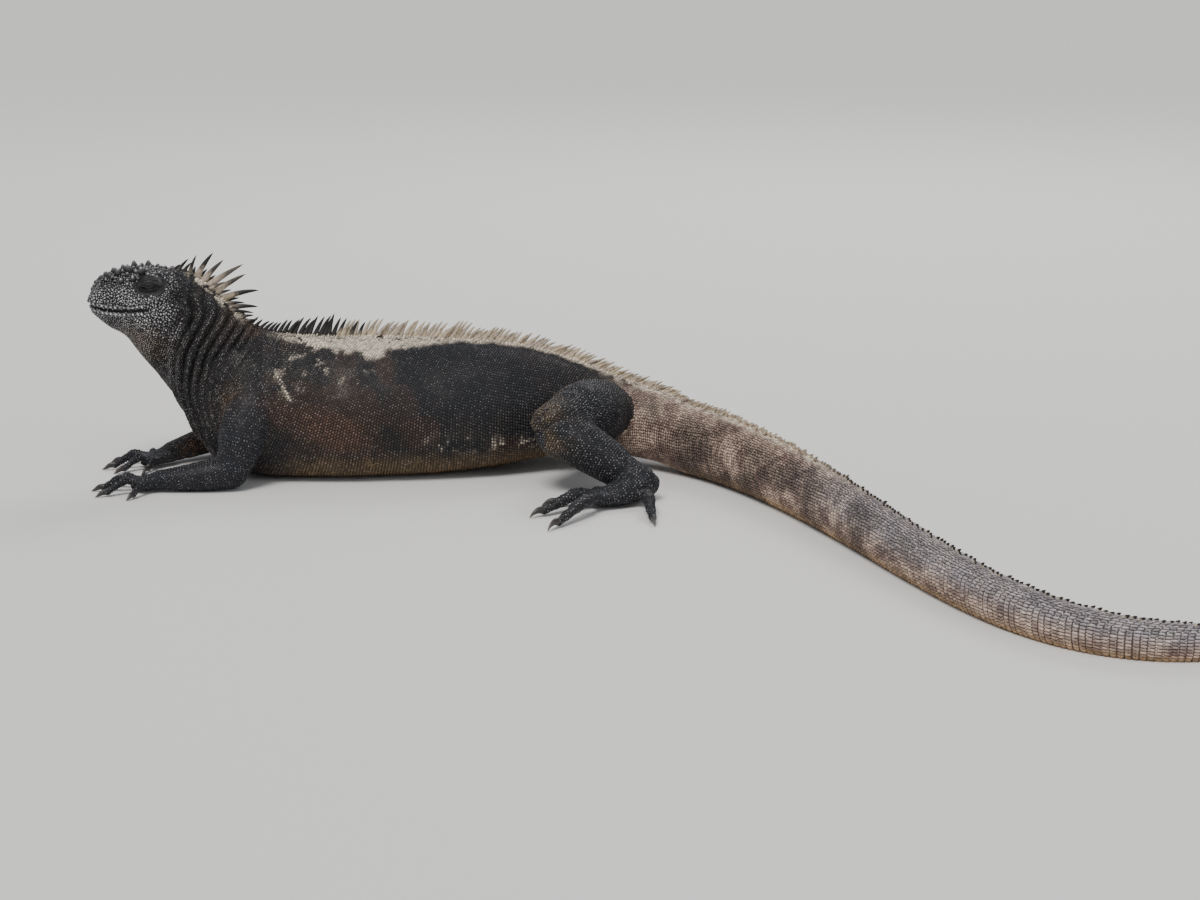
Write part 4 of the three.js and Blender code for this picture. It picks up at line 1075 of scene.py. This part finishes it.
def hide_paint(name, deep):
    """The scaly hide. deep is 1 on the skin between the scales, darkened all over as painted shade, and 0 on
    the scales themselves, which get painted shade at their feet and painted highlights on their tops.
    """
    paint = Paint(name, Specular_IOR_Level=0.38)
    pale, rust, tan, dark = paint.channels("marks")
    warm, orange, blue, glint_strength = paint.channels("more")
    fine = paint.noise(900, 4)
    broad = paint.noise(75, 5)
    colour = paint.mix(paint.step(broad, 0.4, 0.62), CHARCOAL, UMBER)
    colour = paint.mix(blue * 0.85, colour, SLATE)
    colour = paint.mix(warm, colour, paint.mix(paint.step(broad, 0.38, 0.62), TAIL_TAN, TAIL_ROSE))
    colour = paint.mix(blue * warm * 0.75, colour, TAIL_GREY)
    colour = paint.mix(orange * 0.8, colour, ORANGE_TAN)
    colour = paint.mix(tan * 0.8, colour, OLIVE_TAN)
    colour = paint.mix(rust * 0.85, colour, RUST)
    colour = paint.mix(paint.clamp(pale * (0.5 + fine)), colour, CREAM)
    # Dark marks in near black, with the painted shade of the armpit and of the neck folds' furrows among them
    colour = paint.mix(dark * 0.92, colour, NEAR_BLACK)
    if deep:
        # Painted shade: the skin between the scales, and the lids' skin, is darkened to between a fifth and a
        # half, least where it is pale
        low = 0.2 + 0.3 * pale
    else:
        tone = paint.attribute("tone")
        rise = paint.attribute("rise")
        # Painted shade darkens each scale towards its foot, times a random tone of its own
        low = (0.12 + 0.88 * paint.step(rise, 0.05, 0.58)) * (0.55 + 0.75 * tone)
        # Painted highlights: a glint on each scale's apex, strongest where the scale's random tone and the
        # glint strength are high and weaker on dark marks, and a faint lightening of the upper part of scales
        # where the glint strength is high
        bright = paint.step(tone + glint_strength * 0.9, 0.7, 1.35)
        painted_top_light = paint.step(rise, 0.2, 0.8) * paint.step(glint_strength, 0.4, 1.0) * 0.16
        glint = paint.step(rise, 0.6, 0.97) * bright * (1 - 0.8 * dark)
    # grey carries the painted shade and the scales' random tone
    grey = paint.node("ShaderNodeCombineColor", {}, {0: low, 1: low, 2: low})
    colour = paint.mix(1.0, colour, grey, "MULTIPLY")
    if not deep:
        # The painted highlights lighten the scales towards a light grey
        colour = paint.mix(paint.clamp(glint * (0.4 + 0.55 * glint_strength) + painted_top_light), colour, GLINT_GREY)
    rough = 0.6 - 0.2 * paint.step(broad, 0.4, 0.7) + 0.2 * pale
    return paint.finish(Base_Color=colour, Roughness=rough, Normal=paint.bump(fine, 0.00012, 0.5))


def spine_paint():
    """Crest spines. pale is 0 for a black one, 1 for a light root with a dark tip, 2 for a light one."""
    paint = Paint("crest_spine", Specular_IOR_Level=0.45)
    tip = paint.attribute("tip")
    tone = paint.attribute("tone")
    pale = paint.attribute("pale")
    grain = paint.noise(650, 4, stretch=(1, 1, 0.5))
    light = paint.mix(paint.clamp(tone * 0.7 + grain * 0.5), BONE, (0.40, 0.33, 0.27))
    root = paint.mix(paint.clamp(pale), (0.030, 0.026, 0.025), light)
    end = paint.mix(paint.clamp(pale - 1.0), NEAR_BLACK, light)
    colour = paint.mix(paint.step(tip + 0.35 * (grain - 0.5), 0.25, 0.6), root, end)
    colour = paint.mix(paint.step(grain, 0.5, 0.72) * 0.55, colour, (0.05, 0.04, 0.035))
    return paint.finish(Base_Color=colour, Roughness=0.5 + 0.2 * grain, Normal=paint.bump(grain, 0.0001, 0.4))


def claw_paint():
    """Horn: dark grey-brown, paler towards the point, where it wears."""
    paint = Paint("claw_horn", Specular_IOR_Level=0.5)
    tip = paint.attribute("tip")
    grain = paint.noise(500, 3)
    colour = paint.mix(paint.step(tip, 0.35, 1.0), (0.025, 0.021, 0.02), (0.12, 0.10, 0.085))
    relief_normal = paint.bump(grain, 0.0001, 0.3)
    return paint.finish(Base_Color=colour, Roughness=0.26 + 0.25 * grain, Normal=relief_normal)


def eye_paint():
    """The wet eye: a black pupil, a dark brown iris with fine spokes, a black rim."""
    paint = Paint("eye", Coat_Weight=0.2, Coat_Roughness=0.04, Specular_IOR_Level=0.3)
    out = paint.attribute("tip")
    grain = paint.noise(1600, 3)
    iris = paint.mix(paint.step(grain, 0.3, 0.7), (0.045, 0.02, 0.009), (0.02, 0.01, 0.006))
    colour = paint.mix(paint.step(out, 0.36, 0.42), (0.003, 0.003, 0.003), iris)
    colour = paint.mix(paint.step(out, 0.7, 0.85), colour, (0.01, 0.007, 0.006))
    return paint.finish(Base_Color=colour, Roughness=0.14 + 0.1 * grain)


# The skin

limb_tubes = all_limbs()
nets = [body_net(-COAT_DEPTH)] + [tube_net(part["surface"], part["rings"], part["sides"], -COAT_DEPTH * 0.8)
                                  for part in limb_tubes]
skin_verts, skin_faces = united(nets)
skin_verts = softened(skin_verts, skin_faces)
skin = Skin(skin_verts, skin_faces)
print("skin", len(skin_faces), "triangles")


# The coat

rng = np.random.default_rng(7)


def body_rows(start, end, pitch, width, **options):
    rows = scale_rows(lambda t, a: body_surface(t, a, -COAT_DEPTH), start, end, pitch, width, rng, **options)
    rows["straight"] = straight_point(rows["t"], rows["turn"], 0.0)
    rows["limb"] = np.zeros(len(rows["t"]))
    rows["onto"] = np.zeros(len(rows["t"]))
    return rows


def every(value):
    return lambda t: value + 0 * t


def spaced(*rows):
    """A spacing that changes smoothly along the body, from rows of (u, spacing)."""
    return lambda t: smooth_rows(rows, t)[..., 1]


def clear_of_features(rows):
    """True where a head scale is clear of eye, nostril, ear and mouth."""
    along, level = rows["straight"][:, 0], rows["straight"][:, 2]
    to_eye = np.hypot((along - EYE["along"]) / (LID["half_length"] - 0.8),
                      (level - EYE["height"]) / (LID["half_height"] - 0.8))
    to_nostril = from_feature(NOSTRIL, along, level)
    to_ear = from_feature(EAR, along, level)
    off_mouth = (np.abs(level - mouth_height(along)) > 1.1) | (along > -157)
    lateral = np.abs(rows["turn"]) > 0.35
    return ~(lateral & ((to_eye < 1) | (to_nostril < 2.4) | (to_ear < 3.7))) & off_mouth


def on_map(rows, low, high):
    """Places rows on the piece's unwrap: body parameter from low to high, and the turn round it across."""
    rows["uv"] = np.column_stack([(rows["t"] - low) / (high - low), rows["turn"] / TURN + 0.5])
    return rows


def head_rows(start, pitch, window, jitter, size):
    """Irregular head scales, clear of its features, each of its own size and turned at random."""
    rows = body_rows(start, HEAD_END, every(pitch), every(pitch * 1.04), window=window, jitter=jitter)
    rows = twisted(picked(rows, clear_of_features(rows)), rng, 0.9)
    grow = rng.uniform(*size, len(rows["t"]))
    rows["half_length"] *= grow
    rows["half_width"] *= grow
    return on_map(rows, -1, HEAD_END)


def nearest_turn(points):
    """Body parameter and turn where the straight body's side passes nearest (distance, height) points."""
    u = np.linspace(-0.8, NECK_U, 260)
    angle = np.linspace(0.02, 3.1, 260)
    uu, aa = np.meshgrid(u, angle, indexing="ij")
    net = straight_point(uu, aa, 0.0).reshape(-1, 3)
    tree = kd_tree(net * [1, 0, 1])
    found = np.array([tree.find((a, 0, z))[1] for a, z in points])
    return uu.ravel()[found], aa.ravel()[found]


def placed_rows(t, turn, half_length, half_width):
    """Scales at given places of the body, the same on both sides."""
    several = []
    for flip in (-1, 1):
        centre = body_surface(t, turn * flip, -COAT_DEPTH)
        forward = body_surface(t + 0.05, turn * flip, -COAT_DEPTH) - centre
        sideways = body_surface(t, turn * flip + 0.03, -COAT_DEPTH) - centre
        several.append(dict(
            t=t, turn=turn * flip, centre=centre, forward=unit(forward), sideways=unit(sideways),
            half_length=half_length + 0 * t, half_width=half_width + 0 * t, limb=0 * t, onto=0 * t,
            straight=straight_point(t, turn * flip, 0.0), uv=np.zeros((len(t), 2))))
    return on_map(grouped(several), -1, HEAD_END)


HEAD_END = NECK_U + 0.25

# The largest knobs of the snout: body parameter, turn from the crest, half width and height
KNOBS = np.array([
    (4.62, 0.28, 3.1, 6.2), (5.5, 0.36, 3.1, 6.0), (3.75, 0.34, 2.8, 4.6), (3.05, 0.36, 2.6, 3.6),
    (5.05, 0.66, 2.6, 3.6), (4.15, 0.74, 2.5, 3.2), (2.35, 0.4, 2.3, 2.8), (4.25, 0.04, 2.6, 4.2),
    (5.2, 0.06, 2.6, 3.8), (3.4, 0.05, 2.4, 3.2), (6.3, 0.46, 2.4, 3.4), (2.9, 0.8, 2.3, 2.3),
    (1.8, 0.7, 2.1, 2.0), (2.6, 0.06, 2.2, 2.4), (6.2, 0.1, 2.3, 2.8), (5.9, 0.74, 2.2, 2.6),
    (7.1, 0.3, 2.2, 2.4), (1.6, 0.3, 2.0, 1.8),
])
knobs = twisted(placed_rows(KNOBS[:, 0], KNOBS[:, 1], KNOBS[:, 2], KNOBS[:, 2] * 0.95), rng, 0.8)
lay("coat_head", knobs, "boss", np.tile(KNOBS[:, 3], 2) * rng.uniform(0.85, 1.08, 2 * len(KNOBS)), (1, 1))

# Lip plates above and below the mouth
for lift, half_width in ((2.4, 1.55), (-2.4, 1.45)):
    spots = np.arange(-199, -160, 3.0)
    t, turn = nearest_turn(list(zip(spots, mouth_height(spots) + lift)))
    lips = placed_rows(t, turn, rng.uniform(1.4, 1.8, len(t)), half_width)
    lay("coat_head", lips, "plate", np.tile(rng.uniform(0.35, 0.7, len(t)), 2), (0.98, 1.0))

crown = head_rows(-0.2, 3.5, (0, 1.05), 0.26, (0.7, 1.08))
straight = crown["straight"]
knobbly = bump(straight[:, 0], -176, 17) + 0.5 * bump(straight[:, 0], -148, 10)
crown_height = (0.9 + 2.0 * knobbly * rng.uniform(0.2, 1.0, len(knobbly))) * (
    1 - 0.45 * smoothstep(0.5, 1.05, np.abs(crown["turn"])))
lay("coat_head", crown, "boss", crown_height)
cheek = head_rows(-0.75, 2.3, (1.05, 1.66), 0.26, (0.75, 1.1))
lay("coat_head", cheek, "dome", 0.8 + 0.5 * rng.random(len(cheek["t"])))
jowl = head_rows(-0.7, 1.65, (1.6, 2.5), 0.22, (0.8, 1.05))
lay("coat_throat", jowl, "dome", 0.75)
throat = head_rows(-0.5, 1.6, (2.45, math.pi), 0.22, (0.85, 1.05))
lay("coat_throat", throat, "grain", 0.5)


def crest_side(start, end, pitch, height, window):
    """Small spines that lean back beside the crest."""
    rows = body_rows(start, end, pitch, every(1.9), window=window, jitter=0.25)
    on_map(rows, start - 0.1, end + 0.1)
    return rows, height(rows["t"]) * rng.uniform(0.5, 1.15, len(rows["t"]))


def tail_u(distance):
    return HIP_U + (distance - TAIL_START) / MM_PER_U


flank_height = spaced((7, 1.2), (8.6, 2.4), (12.5, 2.6), (TORSO_U, 1.8), (HIP_U, 2.0), (tail_u(300), 1.1))
rows, height = crest_side(7.2, tail_u(300), every(2.2), flank_height, (0.02, 0.15))
lay("coat_crest", rows, "cone", height, (1.25, 0.9))


def lean_back(t, angle):
    """Rows of the back and tail slope back towards the crest, by a power of the way up."""
    amount = 0.8 * smoothstep(TORSO_U, TORSO_U + 3.5, t) * smoothstep(tail_u(TAIL_TIP), tail_u(500), t)
    rise = np.clip(1 - np.abs(angle) / 1.35, 0, 1)
    return amount * rise ** 1.8


neck = body_rows(NECK_U + 0.02, TORSO_U + 0.1, every(1.5), every(1.55), jitter=0.24)
lay("coat_neck", on_map(neck, NECK_U, TORSO_U + 0.3), "grain", 0.55 + 0.3 * rng.random(len(neck["t"])))

torso = body_rows(TORSO_U, RUMP_U + 0.1, every(1.85), every(2.0), slant=lean_back,
                  jitter=lambda t: 0.05 + 0.22 * float(smoothstep(17.5, 14.5, t)))
on_map(torso, TORSO_U, RUMP_U + 0.6)
for side, keep in (("left", torso["turn"] <= 0), ("right", torso["turn"] > 0)):
    half = picked(torso, keep)
    lay(f"coat_torso_{side}", half, "grain", 0.6, (0.92, 1.06))

tail_pitch = spaced((RUMP_U, 1.9), (tail_u(200), 2.1), (tail_u(280), 2.6), (tail_u(400), 3.4),
                    (tail_u(560), 3.8), (tail_u(TAIL_TIP), 3.0))
tail_width = spaced((RUMP_U, 2.0), (tail_u(300), 1.95), (tail_u(560), 2.0), (tail_u(TAIL_TIP), 1.2))
tail = body_rows(RUMP_U, TAIL_END_U - 0.05, tail_pitch, tail_width, stagger=False, jitter=0.03,
                 slant=lean_back)
on_map(tail, RUMP_U, TAIL_END_U + 0.5)
distance = tail["straight"][:, 0]
tail_height = 0.6 + 0.45 * smoothstep(190, 330, distance) * smoothstep(TAIL_TIP, TAIL_TIP - 90, distance)
for name, keep in (("coat_tail_base", distance < 300), ("coat_tail_end", distance >= 300)):
    lay(name, picked(tail, keep), "keel", tail_height[keep], (0.94, 0.94))

for kind, number in (("arm", 1), ("leg", 2)):
    for side in ("left", "right"):
        parts = [part for part in limb_tubes if part["kind"] == kind and part["side"] == side]
        for i, part in reversed(list(enumerate(parts))):
            pitch, width, jitter, height, spread = (
                (1.7, 2.3, 0.06, 0.42, (1.0, 1.1)) if part["part"] == "digit"
                else (1.85, 1.9, 0.13, 0.55, (0.98, 0.98)))
            rows = scale_rows(lambda t, a: part["surface"](t, a, -COAT_DEPTH * 0.8), -0.9, 1.9, every(pitch),
                              every(width), rng, jitter=jitter)
            rows.update(straight=rows["centre"], limb=np.full(len(rows["t"]), float(number)))
            rows["onto"] = 1 - smoothstep(0.1, 0.6, rows["t"]) if part["part"] == "upper" else 0 * rows["t"]
            rows["uv"][:, 1] = (i + 0.02 + 0.96 * rows["uv"][:, 1]) / len(parts)
            lay(f"coat_{kind}_{side}", rows, "grain", height, spread, reach=3.2)


# Crest spines

def body_top(u):
    base = straight_point(u, 0 * u, -COAT_DEPTH)
    return straight_point(u, 0 * u, -COAT_DEPTH + relief(base, 0 * u))


def crest_entries(random):
    """Every spine as distance, height of its root, length, degrees above backward, base width, thickness, how
    pale it is, and side shift."""
    u = np.linspace(5, TAIL_END_U, 4000)
    top = body_top(u)
    entries = []
    for along, length, degrees, pale in NAPE_SPINES:
        share = min(1, max(0.6, length / 22))
        entries.append((along, length, degrees + random.uniform(-4, 4), 4.9 * share, 3.2 * share, pale,
                        random.uniform(-0.9, 0.9)))
        if length > 12:
            shift = random.choice([-1.7, 1.7])
            entries.append((along + 1.6, length * 0.42, degrees - 6, 3.0, 2.4, pale, shift))
    along = CREST[0][0]
    while along < CREST[-1][0]:
        _, length, pitch, lean = smooth_rows(CREST, np.array(along))
        slope = np.interp(along + 1, top[:, 0], top[:, 2]) - np.interp(along - 1, top[:, 0], top[:, 2])
        tuft = cloud(np.array([along, 0.0, 0.0]), 9, 4)
        loose = 1 - 0.75 * float(smoothstep(60, 170, along))
        stray = (40 * (tuft - 0.5) + random.uniform(-5, 5)) * loose
        degrees = 90 - lean + math.degrees(math.atan2(slope, 2)) + stray
        share = min(1, max(0.35, length / 12))
        wave = cloud(np.array([along, 9.0, 0.0]), 14, 6)
        size = length * (1 + 0.6 * loose * (wave - 0.5)) * random.uniform(0.88, 1.08)
        pale = 1.9 * float(smoothstep(-46, -18, along + random.uniform(-14, 14)))
        pale = pale * (1 - 0.5 * float(smoothstep(300, 420, along)))
        entries.append((along, size, degrees, min(3.6, pitch * 1.35) * max(share, 0.8), 2.4 * share, pale,
                        random.uniform(-0.7, 0.7)))
        along += pitch * random.uniform(0.85, 1.15)
    return [(e[0], float(np.interp(e[0], top[:, 0], top[:, 2])), *e[1:]) for e in entries]


def crest_net():
    """Every spine as rings round a bending axis: the axis turns back as a power of the reach, and the section
    is a flat ellipse that narrows as a root of what is left."""
    random = np.random.default_rng(11)
    rings, sides = 9, 8
    share = np.linspace(0, 1, rings)
    turn = np.arange(sides) / sides * TURN
    parts, tips, tones, pales = [], [], [], []
    for along, height, length, degrees, base, thick, pale, shift in crest_entries(random):
        sink = min(2.4, 0.9 + length * 0.12)
        reach = -sink + share * (length + sink)
        bow = np.radians(degrees + 5 - random.uniform(8, 24) * share ** 1.5)
        step = np.diff(reach, prepend=reach[0])
        x = along + np.cumsum(np.cos(bow) * step) - sink * math.cos(bow[0])
        z = height + np.cumsum(np.sin(bow) * step) - sink * math.sin(bow[0])
        width = np.clip(1 - share ** 1.3, 0, 1) ** 0.62
        drift = shift * (1 + random.uniform(0.2, 2.2) * share)
        fore = (np.cos(turn) * (base / 2))[None] * width[:, None]
        px = x[:, None] - np.sin(bow)[:, None] * fore
        pz = z[:, None] + np.cos(bow)[:, None] * fore
        py = drift[:, None] + (np.sin(turn) * (thick / 2))[None] * width[:, None]
        grid = bend(np.stack([px, py, pz], -1))
        parts.append(closed_grid(grid[:-1], grid[0].mean(0), grid[-1].mean(0)))
        n = len(parts[-1][0])
        tips.append(np.concatenate([np.repeat(share[:-1], sides), [0, 1]]))
        tones.append(np.full(n, random.random()))
        pales.append(np.full(n, pale))
    verts, triangles = joined_arrays(parts)
    return verts, triangles, {"tip": np.concatenate(tips), "tone": np.concatenate(tones),
                              "pale": np.concatenate(pales)}


spine_verts, spine_faces, spine_values = crest_net()
crest = write_mesh("crest_spines", spine_verts, spine_faces, spine_values, material=spine_paint())
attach(crest, "root")


# Claws

claw_material = claw_paint()
for kind, node in (("arm", "hand_claw"), ("leg", "foot_claw")):
    for side in ("left", "right"):
        digits = [part for part in limb_tubes
                  if part["part"] == "digit" and part["kind"] == kind and part["side"] == side]
        verts, triangles = joined_arrays([tube_net(part["nail"], 12, 10) for part in digits])
        level = np.concatenate([np.repeat(np.linspace(0, 1, 18), 10), [0, 1]])
        claws = write_mesh(f"claws_{kind}_{side}", verts, triangles, {"tip": np.tile(level, len(digits))},
                           material=claw_material)
        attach(claws, "root")
        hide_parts(*[f"{node}_{side}_{part['index']}" for part in digits])


# Eyes and lids

def eyeball(flip):
    """A globe, rings running from its outward pole to its back, with a slight bulge of the cornea."""
    polar = np.linspace(0.06, math.pi - 0.06, 40)
    turn = np.arange(40) / 40 * TURN
    radius = EYE["radius"] * (1 + 0.05 * np.exp(-(polar / 0.55) ** 2))
    out = radius * np.cos(polar)
    ring = radius * np.sin(polar)
    p = np.stack([
        EYE["along"] + ring[:, None] * np.cos(turn), flip * (EYE["side"] + out[:, None] + 0 * turn),
        EYE["height"] + ring[:, None] * np.sin(turn)], -1)
    poles = bend(np.array([[EYE["along"], flip * (EYE["side"] + EYE["radius"] * 1.05), EYE["height"]],
                           [EYE["along"], flip * (EYE["side"] - EYE["radius"]), EYE["height"]]]))
    verts, triangles = closed_grid(bend(p), poles[0], poles[1])
    tip = np.concatenate([np.repeat(np.minimum(polar / 1.1, 1), 40), [0, 1]])
    return verts, triangles, tip


def head_side(along, height):
    """The head's own half width where its side passes these distances and heights, read from a fine net."""
    u, angle = np.meshgrid(np.linspace(3, 9, 240), np.linspace(0.1, 2.2, 300), indexing="ij")
    base = straight_point(u, angle, 0.0)
    net = straight_point(u, angle, relief(base, angle)).reshape(-1, 3)
    tree = kd_tree(net * [1, 0, 1])
    return net[[tree.find((a, 0, z))[1] for a, z in zip(along, height)], 1]


RIM_TURN = np.linspace(0, TURN, 81)
RIM_SIDE = head_side(EYE["along"] + LID["half_length"] * np.cos(RIM_TURN),
                     EYE["height"] + LID["half_height"] * np.sin(RIM_TURN))


def lid_surface(flip):
    """Eyelids as one sleeve round the slit: s from 0 at the slit's inner rim, through 0.15 at its outer rim,
    to 1 in the skin. Points lie on an ellipsoid over the eye that eases out to the head's own side, and fine
    wrinkles run round the slit."""

    def surface(s, turn):
        s, turn = np.broadcast_arrays(np.asarray(s, float), np.asarray(turn, float))
        share = smoothstep(0.1, 1, s) * 0.5 + 0.5 * np.clip((s - 0.1) / 0.9, 0, 1)
        slit = LID["slit_height"] * np.where(np.sin(turn) > 0, 0.8, 1.0)
        point = 1 - 0.32 * (1 - share) * np.abs(np.sin(turn)) ** 0.6 * np.abs(np.cos(turn)) ** 0.6
        x = np.cos(turn) * (LID["slit_length"] * (1 - share) + LID["half_length"] * share) * point
        z = np.sin(turn) * (slit * (1 - share) + LID["half_height"] * share) * point - 0.7 * (1 - share)
        z = z + 0.10 * x * (1 - share)
        dome = np.sqrt(np.clip(1 - (x / 11.4) ** 2 - (z / 8.6) ** 2, 0.02, 1))
        fade = smoothstep(0.1, 0.25, s) * smoothstep(1, 0.75, s)
        over = LID["bulge"] * dome + 0.22 * np.cos(TURN * (4.4 * s + 0.1 * np.sin(3 * turn))) * fade
        under = np.sqrt(np.clip(EYE["radius"] ** 2 - x ** 2 - z ** 2, 0, None)) - 0.2
        rim = smoothstep(0.14, 0.0, s)
        out = over * (1 - rim) + np.minimum(under, over) * rim
        rim_out = np.interp(turn % TURN, RIM_TURN, RIM_SIDE) - EYE["side"] - COAT_DEPTH - 0.4
        ease = smoothstep(0.42, 1.0, s)
        out = out * (1 - ease) + rim_out * ease - 0.8 * smoothstep(0.9, 1.0, s)
        left = (EYE["radius"] + 0.7) ** 2 - x ** 2 - z ** 2
        cover = np.where(left > 0, np.sqrt(np.maximum(left, 0)), -9)
        out = np.where(s > 0.14, np.maximum(out, cover + 0.15 * np.cos(TURN * 4.4 * s)), out)
        return bend(np.stack([EYE["along"] + x, flip * (EYE["side"] + out), EYE["height"] + z], -1))

    return surface


def lid_beads(surface, flip):
    """Rings of small round scales on a lid, smallest at the slit, with their places and outward normals."""
    several = []
    for k, s in enumerate(np.linspace(0.2, 0.92, 7)):
        size = 0.36 + 0.3 * s
        dense = np.linspace(0, TURN, 200)
        ring = surface(s, dense)
        reach = np.concatenate([[0], np.cumsum(np.linalg.norm(np.diff(ring, axis=0), axis=1))])
        number = int(reach[-1] / (2.1 * size))
        turn = np.interp((np.arange(number) + 0.5 * (k % 2)) / number * reach[-1], reach, dense)
        place = surface(s, turn)
        outward = surface(s + 0.02, turn) - surface(s - 0.02, turn)
        round_it = surface(s, turn + 0.03) - surface(s, turn - 0.03)
        normal = unit(np.cross(outward, round_it))
        normal = normal * np.sign(normal[:, 1] * flip)[:, None]
        n = len(turn)
        several.append(dict(
            t=np.full(n, s), turn=np.full(n, 1.2), centre=place, normal_here=normal,
            forward=unit(outward), sideways=unit(round_it),
            half_length=np.full(n, size), half_width=np.full(n, size), limb=np.zeros(n), onto=np.zeros(n),
            straight=np.column_stack([np.full(n, EYE["along"]), np.full(n, flip * 24.0), place[:, 2]]),
            uv=np.column_stack([0.65 + 0.02 * s * np.cos(turn),
                                0.5 + flip * 0.19 + 0.02 * s * np.sin(turn)])))
    rows = grouped(several)
    normal = rows.pop("normal_here")
    return rows, (rows["centre"] - normal * 0.02, normal, np.ones(len(normal), bool))


eye_material = eye_paint()
# The lids' skin takes the same painted shade as the skin between the scales
lid_material = hide_paint("lid_skin", True)
for side, flip in (("left", -1), ("right", 1)):
    verts, triangles, tip = eyeball(flip)
    eye = write_mesh(f"eyeball_{side}", verts, triangles, {"tip": tip}, material=eye_material)
    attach(eye, "root")
    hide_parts(f"eye_{side}")
    surface = lid_surface(flip)
    s = np.concatenate([np.linspace(0, 0.15, 6)[:-1], np.linspace(0.15, 1, 36)])
    turn = np.arange(80) / 80 * TURN
    grid = surface(s[:, None], turn[None, :])
    hub = bend(np.array([EYE["along"], flip * (EYE["side"] - 5), EYE["height"]]))
    back = hub + (grid[-1] - hub) * 0.85
    inner = hub + (grid[0] - hub) * 0.9
    net = closed_grid(np.concatenate([inner[None], grid, back[None]]), hub, hub)
    n = len(net[0])
    marks = np.tile([0, 0.2, 0.1, 0.1], (n, 1))
    more = np.tile([0, 0, 0.6, 0.2], (n, 1))
    lids = write_mesh(f"lids_{side}", *net, {"marks": marks, "more": more}, material=lid_material)
    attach(lids, "root")
    beads, settled = lid_beads(surface, flip)
    lay("coat_lids", beads, "grain", 0.3, (1.0, 1.0), settled=settled)
    # Weak painted highlights on the lid beads
    COAT[-1]["rows"]["more"][:, 3] = 0.12


# The coat is thinned where sets of scales meet, then written

thin_out(share=0.58)
fill_gaps(width=1.5, share=0.62)
build_coat(hide_paint("scaly_coat", False))

# The skin takes its markings from the nearest scale
centres, marks, more = (np.concatenate([s["rows"][key] for s in COAT]) for key in ("place", "marks", "more"))
tree = kd_tree(centres)
nearest = np.array([tree.find(p)[1] for p in skin_verts.tolist()])
# The skin's material darkens it all over as painted shade between the scales
hide = write_mesh("hide", skin_verts, skin_faces, {"marks": marks[nearest], "more": more[nearest]},
                  material=hide_paint("hide_between_scales", True))
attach(hide, "root")
flesh_nodes = [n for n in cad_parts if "claw" not in n and "eye" not in n]
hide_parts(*flesh_nodes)


# Studio

CAMERA_PLACE = (0.136, -1.4528, 0.3734)  # in metres
CAMERA_LENS = 66.18  # in millimetres, on a sensor of 36
CAMERA_DIP = 14  # degrees below the level
FLOOR_EDGE = 30000


def stage_floor():
    """A plain pale floor that reaches past the camera's view."""
    points = FLOOR_EDGE * np.array([(-1, -1, 0), (1, -1, 0), (1, 1, 0), (-1, 1, 0)], float)
    paint = Paint("pale_floor", Roughness=0.85)
    floor = write_mesh("floor", points, np.array([(0, 1, 2), (0, 2, 3)]),
                       material=paint.finish(Base_Color=(0.74, 0.73, 0.71)))


def area_light(name, place, target, size, power, colour):
    """A round area light; places and size in metres, power in watts."""
    light = bpy.data.lights.new(name, "AREA")
    light.shape = "DISK"
    light.size = size
    light.energy = power
    light.color = colour
    obj = bpy.data.objects.new(name, light)
    bpy.context.scene.collection.objects.link(obj)
    obj.location = place
    direction = np.array(target, float) - np.array(place, float)
    obj.rotation_euler = Vector(direction).to_track_quat("-Z", "Y").to_euler()


stage_floor()
sun = bpy.data.lights.new("key", "SUN")
sun.energy = 2.3
sun.angle = math.radians(24)
sun.color = (1.0, 0.98, 0.95)
key = bpy.data.objects.new("key", sun)
bpy.context.scene.collection.objects.link(key)
key.rotation_euler = Vector((0.22, 0.5, -1.0)).to_track_quat("-Z", "Y").to_euler()
area_light("fill", (1.8, -1.6, 1.2), (0.1, -0.1, 0.05), 1.6, 8, (0.92, 0.95, 1.0))
area_light("rim", (0.6, 1.6, 1.6), (0.1, 0, 0.05), 1.0, 14, (1.0, 1.0, 1.0))

world = bpy.data.worlds.new("studio")
bpy.context.scene.world = world
world.use_nodes = True
world.node_tree.nodes["Background"].inputs[0].default_value = (0.86, 0.88, 0.92, 1)
world.node_tree.nodes["Background"].inputs[1].default_value = 0.55

camera = bpy.data.cameras.new("camera")
camera.sensor_width = 36
camera.lens = CAMERA_LENS
view = bpy.data.objects.new("camera", camera)
bpy.context.scene.collection.objects.link(view)
view.location = CAMERA_PLACE
view.rotation_euler = (math.radians(90 - CAMERA_DIP), 0, 0)
bpy.context.scene.camera = view
